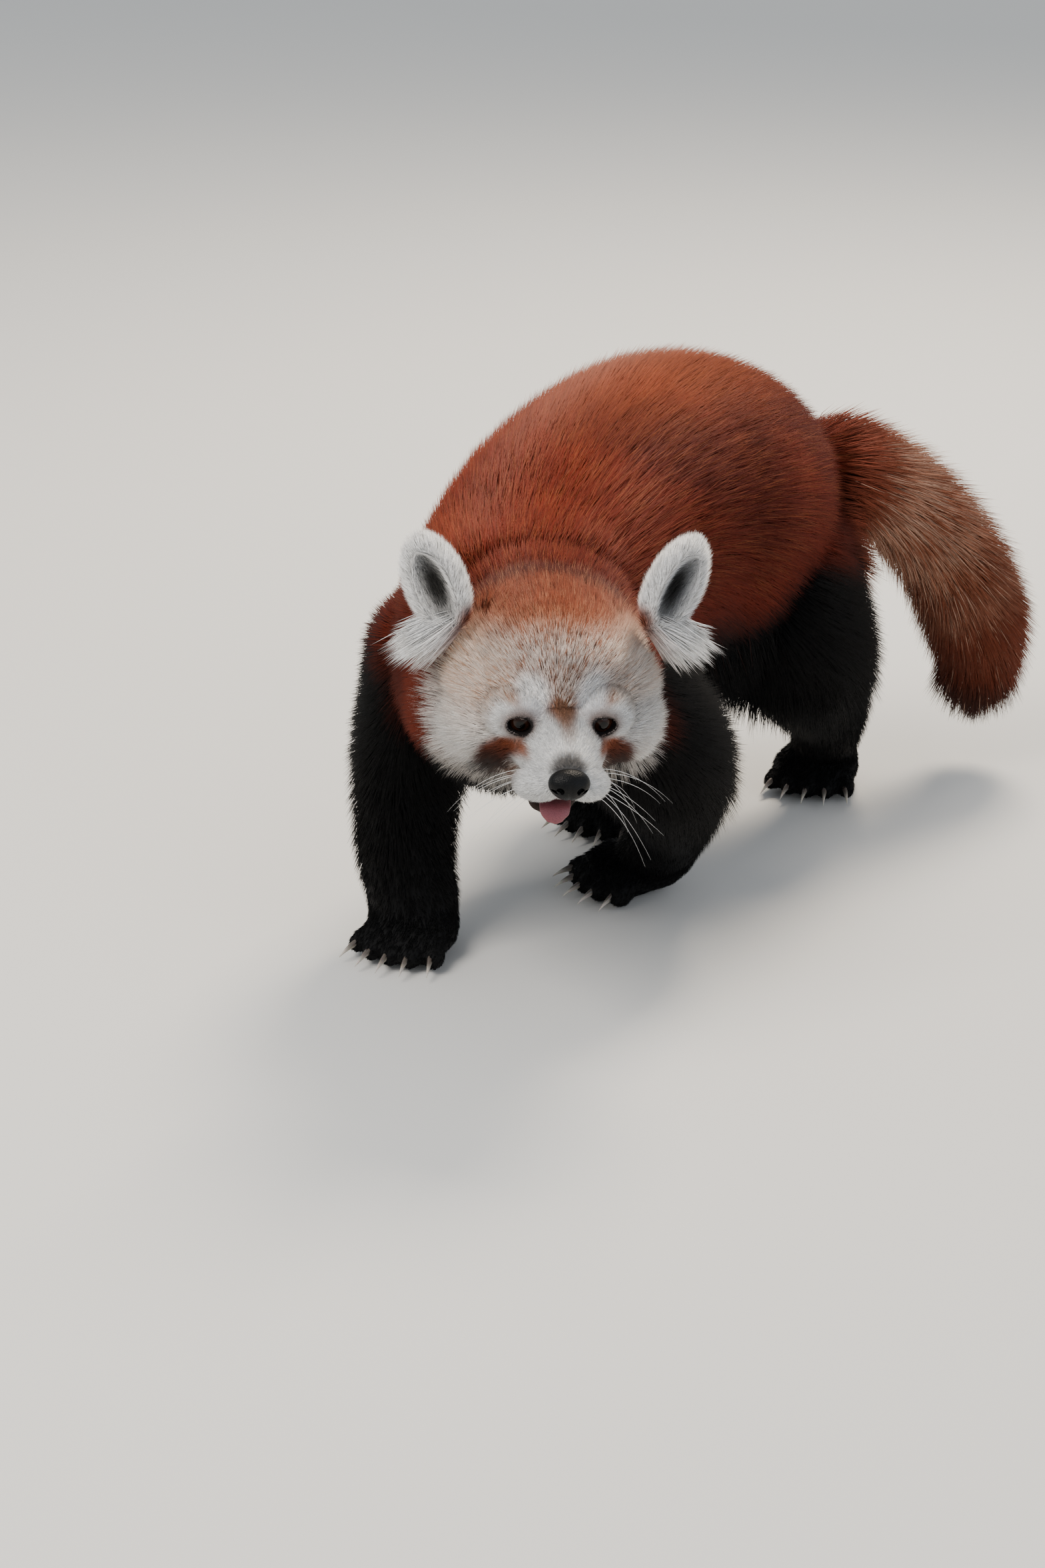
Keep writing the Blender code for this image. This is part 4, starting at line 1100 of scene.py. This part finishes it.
def ear_only(points):
    """1 on the ears."""
    local = head_axes(points)
    found = np.zeros(len(points))
    for side in (-1, 1):
        near, length = ear_local(local, side)
        cup = (near[:, 2] > -length / 2 + 0.001) * (np.abs(near[:, 0]) < 0.024) * (np.abs(near[:, 1]) < 0.016)
        found = np.maximum(found, cup)
    return found


def head_only(points):
    """1 on the furred head, 0 at the lids, lips, nose and ears and on the body."""
    local = head_axes(points)
    weight = (head_share(points) > 0.5) * (1 - ear_only(points))
    for side in (-1, 1):
        eye = (side * (EYE_SPACING / 2 + 0.0012), 0, -SLIT_DROP)
        weight = weight * (within(local, eye, (0.0077, 0.0120, 0.0058), 0.02) < 0.5)
    weight = weight * (within(local, *LIPS, 0.05) < 0.5)
    return weight * (within(local, NOSE_CENTRE, (0.0122, 0.0092, 0.0092), 0.02) < 0.5)


def head_band(start, end):
    """1 on the furred head between two distances behind the eyes."""

    def weight(points):
        y = head_axes(points)[:, 1]
        return head_only(points) * (y >= start) * (y < end)

    return weight


def face_length(points):
    """Hair from 2 mm at the lids and 4 mm on the muzzle to 15 mm on the crown and 19 on the cheeks."""
    local = head_axes(points)
    x, y = np.abs(local[:, 0]), local[:, 1]
    length = 0.0040 + 0.0050 * ramp(y, -0.010, 0.015) + 0.0060 * ramp(y, 0.020, 0.050)
    length += 0.0045 * ramp(x, 0.034, 0.052) * ramp(0.02 - local[:, 2], 0.0, 0.02)
    for side in (-1, 1):
        eye = np.linalg.norm(local - np.array((side * EYE_SPACING / 2, 0, -SLIT_DROP)), axis=1)
        length = np.minimum(length, 0.0018 + np.maximum(0, eye - 0.0080) * 0.34)
    return length


def grizzle(points):
    """How many hairs of the forehead and crown have pale tips."""
    local = head_axes(points)
    rise = rise_of(local)
    return (0.66 - 0.42 * ramp(rise, 0.038, 0.070)) * (1 - tear_share(local))


def frost_colours(points):
    """The pale tips of the head's hair: cream on the face, tan on the crown."""
    local = head_axes(points)
    rise = rise_of(local)
    cream = np.tile(linear("#efe7df"), (len(points), 1))
    return blend(cream, ramp(rise, 0.032, 0.058), "#b27a5a")


def face_lift(points):
    """Hair that stands off more at the sides of the cheeks."""
    return 0.42 + 0.20 * ramp(np.abs(head_axes(points)[:, 0]), 0.036, 0.054)


def ruff_only(points):
    """1 on the back edge of the cheeks."""
    local = head_axes(points)
    x, y, z = np.abs(local[:, 0]), local[:, 1], local[:, 2]
    low = (z > -0.032) * (z < 0.020)
    return low * (y > 0.056) * (y < 0.080) * (x > 0.034) * (head_share(points) > 0.1)


def ruff_way(points, normals):
    """Outwards from the head's long axis, back and down."""
    local = head_axes(points)
    ways = np.stack([local[:, 0] * 0.8, np.full(len(local), 0.045), local[:, 2] * 0.4 - 0.030], axis=1)
    return unit(unit(ways) @ HEAD_TURN + normals * 0.1)


def body_only(points):
    """1 off the head and the tail."""
    return (tail_share(points)[0] <= 0.5) * (head_share(points) <= 0.5)


def belly_only(points):
    """1 on the lower flanks and the belly between the legs."""
    y, z = points[:, 1], points[:, 2]
    between_legs = ramp(y, 0.135, 0.165) * (1 - ramp(y, 0.305, 0.330))
    return body_only(points) * between_legs * (z > 0.115) * (1 - ramp(z, 0.150, 0.185))


def belly_way(points, normals):
    """Down and a little back."""
    ways = np.tile((0.0, 0.22, -1.0), (len(points), 1))
    return unit(ways + normals * 0.12)


# The height where the coat of the trunk ends and that of the legs begins
LEG_TOP = 0.105


def trunk_between(low, high):
    """1 on the trunk between two shares of the spine."""

    def weight(points):
        where, _ = nearest_on(points, SPINE_LINE)
        trunk = body_only(points) * (points[:, 2] > LEG_TOP)
        return trunk * (where >= low) * (where < high) * (0.4 + 0.6 * ramp(points[:, 2], 0.11, 0.15))

    return weight


def legs_only(points):
    """1 on the legs and feet, clear of the floor."""
    z = points[:, 2]
    return (z <= LEG_TOP) * (z > 0.0025) * body_only(points) * (1 + 1.5 * (z < 0.03))


def tail_between(low, high):
    """1 on the tail between two shares of its length."""

    def weight(points):
        tail, along = tail_share(points)
        return (tail > 0.5) * (along >= low) * (along < high)

    return weight


def leg_length(points):
    """Hair that shortens from the elbow to the toes."""
    z = points[:, 2]
    return 0.0036 + 0.0030 * ramp(z, 0.012, 0.026) + 0.0115 * ramp(z, 0.022, 0.090)


def trunk_length(points):
    """Hair from 21 mm at the shoulders to 30 mm behind them."""
    return 0.021 + 0.009 * ramp(points[:, 1], 0.03, 0.14)


def ear_foot(points):
    """1 at the outer foot of the ears."""
    local = head_axes(points)
    found = np.zeros(len(points))
    for side in (-1, 1):
        found = np.maximum(found, within(local, (side * 0.0640, 0.052, 0.0340), (0.011, 0.014, 0.013), 0.3))
    return found


def ear_foot_way(points, normals):
    """Outwards and down from the foot of the ear."""
    side = np.sign(head_axes(points)[:, 0])
    ways = np.stack([side * 0.78, np.full(len(side), 0.16), np.full(len(side), -0.58)], axis=1)
    return unit(ways @ HEAD_TURN + normals * 0.12)


def tail_frost(points):
    """How many hairs of the tail have pale tips: none at its root, half behind it, few at its end."""
    along = tail_share(points)[1]
    return 0.50 * ramp(along, 0.16, 0.34) - 0.42 * ramp(along, 0.34, 0.80)


TRUNK_FROST = (lambda points: 0.34 * ramp(rust_height(points), 0.010, 0.030), "#94502f")
TAIL_FROST = (tail_frost, "#c9a48d")
EAR_FROST = (lambda points: np.ones(len(points)), "#f4f4f3")
FACE_FROST = (grizzle, frost_colours)
MUZZLE_FROST = (lambda points: grizzle(points) * ramp(head_axes(points)[:, 2], 0.004, 0.016), frost_colours)
for i in range(4):
    quarter = trunk_between(i * 0.25, i * 0.25 + 0.25 + (i == 3))
    grow("coat_trunk_%d" % (i + 1), 35000, quarter, trunk_length, 0.35, 0.00095, rust_hair,
         spine_unrolled, rings=1, clump=0.32, dark=0.55, frost=TRUNK_FROST)
grow("coat_belly", 9000, belly_only, 0.038, 0.12, 0.0011, black_hair, spine_unrolled,
     lie=belly_way)
TAIL_COATS = (("coat_tail_1", 14000, 0, 0.6, 0.036), ("coat_tail_2", 13000, 0.6, 1.01, 0.034))
for name, count, low, high, length in TAIL_COATS:
    grow(name, count, tail_between(low, high), length, 0.50, 0.0009, rust_hair, tail_unrolled,
         clump=0.18, frost=TAIL_FROST)
grow("coat_legs", 40000, legs_only, leg_length, 0.36, 0.0009, black_hair, legs_unrolled,
     rings=1, clump=0.22)
grow("coat_ruff", 4000, ruff_only, 0.019, 0.30, 0.0009, rust_hair, head_unrolled,
     lie=ruff_way, tint="#6b2a19")
grow("coat_muzzle", 22000, head_band(-1, 0.006), face_length, 0.40, 0.00055, face_hair,
     head_unrolled, rings=1, clump=0.35, dark=0.62, pale=1.1, frost=MUZZLE_FROST)
grow("coat_face", 34000, head_band(0.006, 0.034), face_length, face_lift, 0.00075, face_hair,
     head_unrolled, rings=1, clump=0.5, dark=0.42, pale=1.15, frost=FACE_FROST)
grow("coat_crown", 32000, head_band(0.034, 1), face_length, face_lift, 0.0008, face_hair,
     head_unrolled, rings=1, clump=0.5, dark=0.42, pale=1.2, frost=FACE_FROST)
grow("coat_ears", 20000, ear_only, 0.0078, 0.42, 0.0005, face_hair, head_unrolled,
     rings=1, dark=0.75, pale=1.1)
grow("coat_ear_tufts", 1500, ear_foot, 0.029, 0.16, 0.0009, face_hair, head_unrolled,
     rings=3, lie=ear_foot_way, dark=0.95, pale=1.1, frost=EAR_FROST)

# Whiskers
# Stiff white hairs that fan out of the whisker pads on both sides of the muzzle and droop.
# Each is a thin bent cone, and they are joined into one piece.
WHISKERS = 11


def make_whisker(root, way, length, droop, thickness=0.00017):
    """A thin bent cone."""
    bm = bmesh.new()
    bmesh.ops.create_cone(bm, cap_ends=True, segments=6, radius1=thickness, radius2=0.00003, depth=length)
    long_edges = [e for e in bm.edges if abs(e.verts[0].co.z - e.verts[1].co.z) > length / 2]
    bmesh.ops.subdivide_edges(bm, edges=long_edges, cuts=9)
    turn = Vector(way).normalized().to_track_quat("Z", "Y").to_matrix().to_4x4()
    bmesh.ops.translate(bm, verts=bm.verts, vec=(0, 0, length / 2))
    bmesh.ops.transform(bm, matrix=Matrix.Translation(root) @ turn, verts=bm.verts)
    for vert in bm.verts:
        along = (vert.co - Vector(root)).length / length
        vert.co += Vector(droop) * along**2
    return object_from(bm, "whisker")


whiskers = []
for side in (-1, 1):
    for i in range(WHISKERS):
        row, column = i % 3, i // 3
        root = Vector((side * (0.0150 + 0.0020 * column), -0.0290 + 0.0055 * column, -0.0235 - 0.0035 * row))
        way = (
            side * (1.0 + DRAW.uniform(-0.15, 0.15)),
            -0.10 + 0.16 * column + DRAW.uniform(-0.12, 0.12),
            -0.10 - 0.25 * row + DRAW.uniform(-0.15, 0.15),
        )
        length = DRAW.uniform(0.034, 0.054)
        droop = (side * DRAW.uniform(-0.010, 0.0), DRAW.uniform(0.000, 0.008), -DRAW.uniform(0.010, 0.026))
        whiskers.append(make_whisker(root, way, length, droop))
whiskers = joined(whiskers, "whiskers")
bristle, tree, shader = new_material("white_whisker")
wear = pattern(tree, "TexNoise", 300.0)
two_tones(tree, wear.outputs["Fac"], "#e8e8e6", "#cfcfcc")
shader.inputs["Roughness"].default_value = 0.4
whiskers.data.materials.append(bristle)
moved(whiskers, IN_FRAME @ HEAD_PLACE)
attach(whiskers, "root")
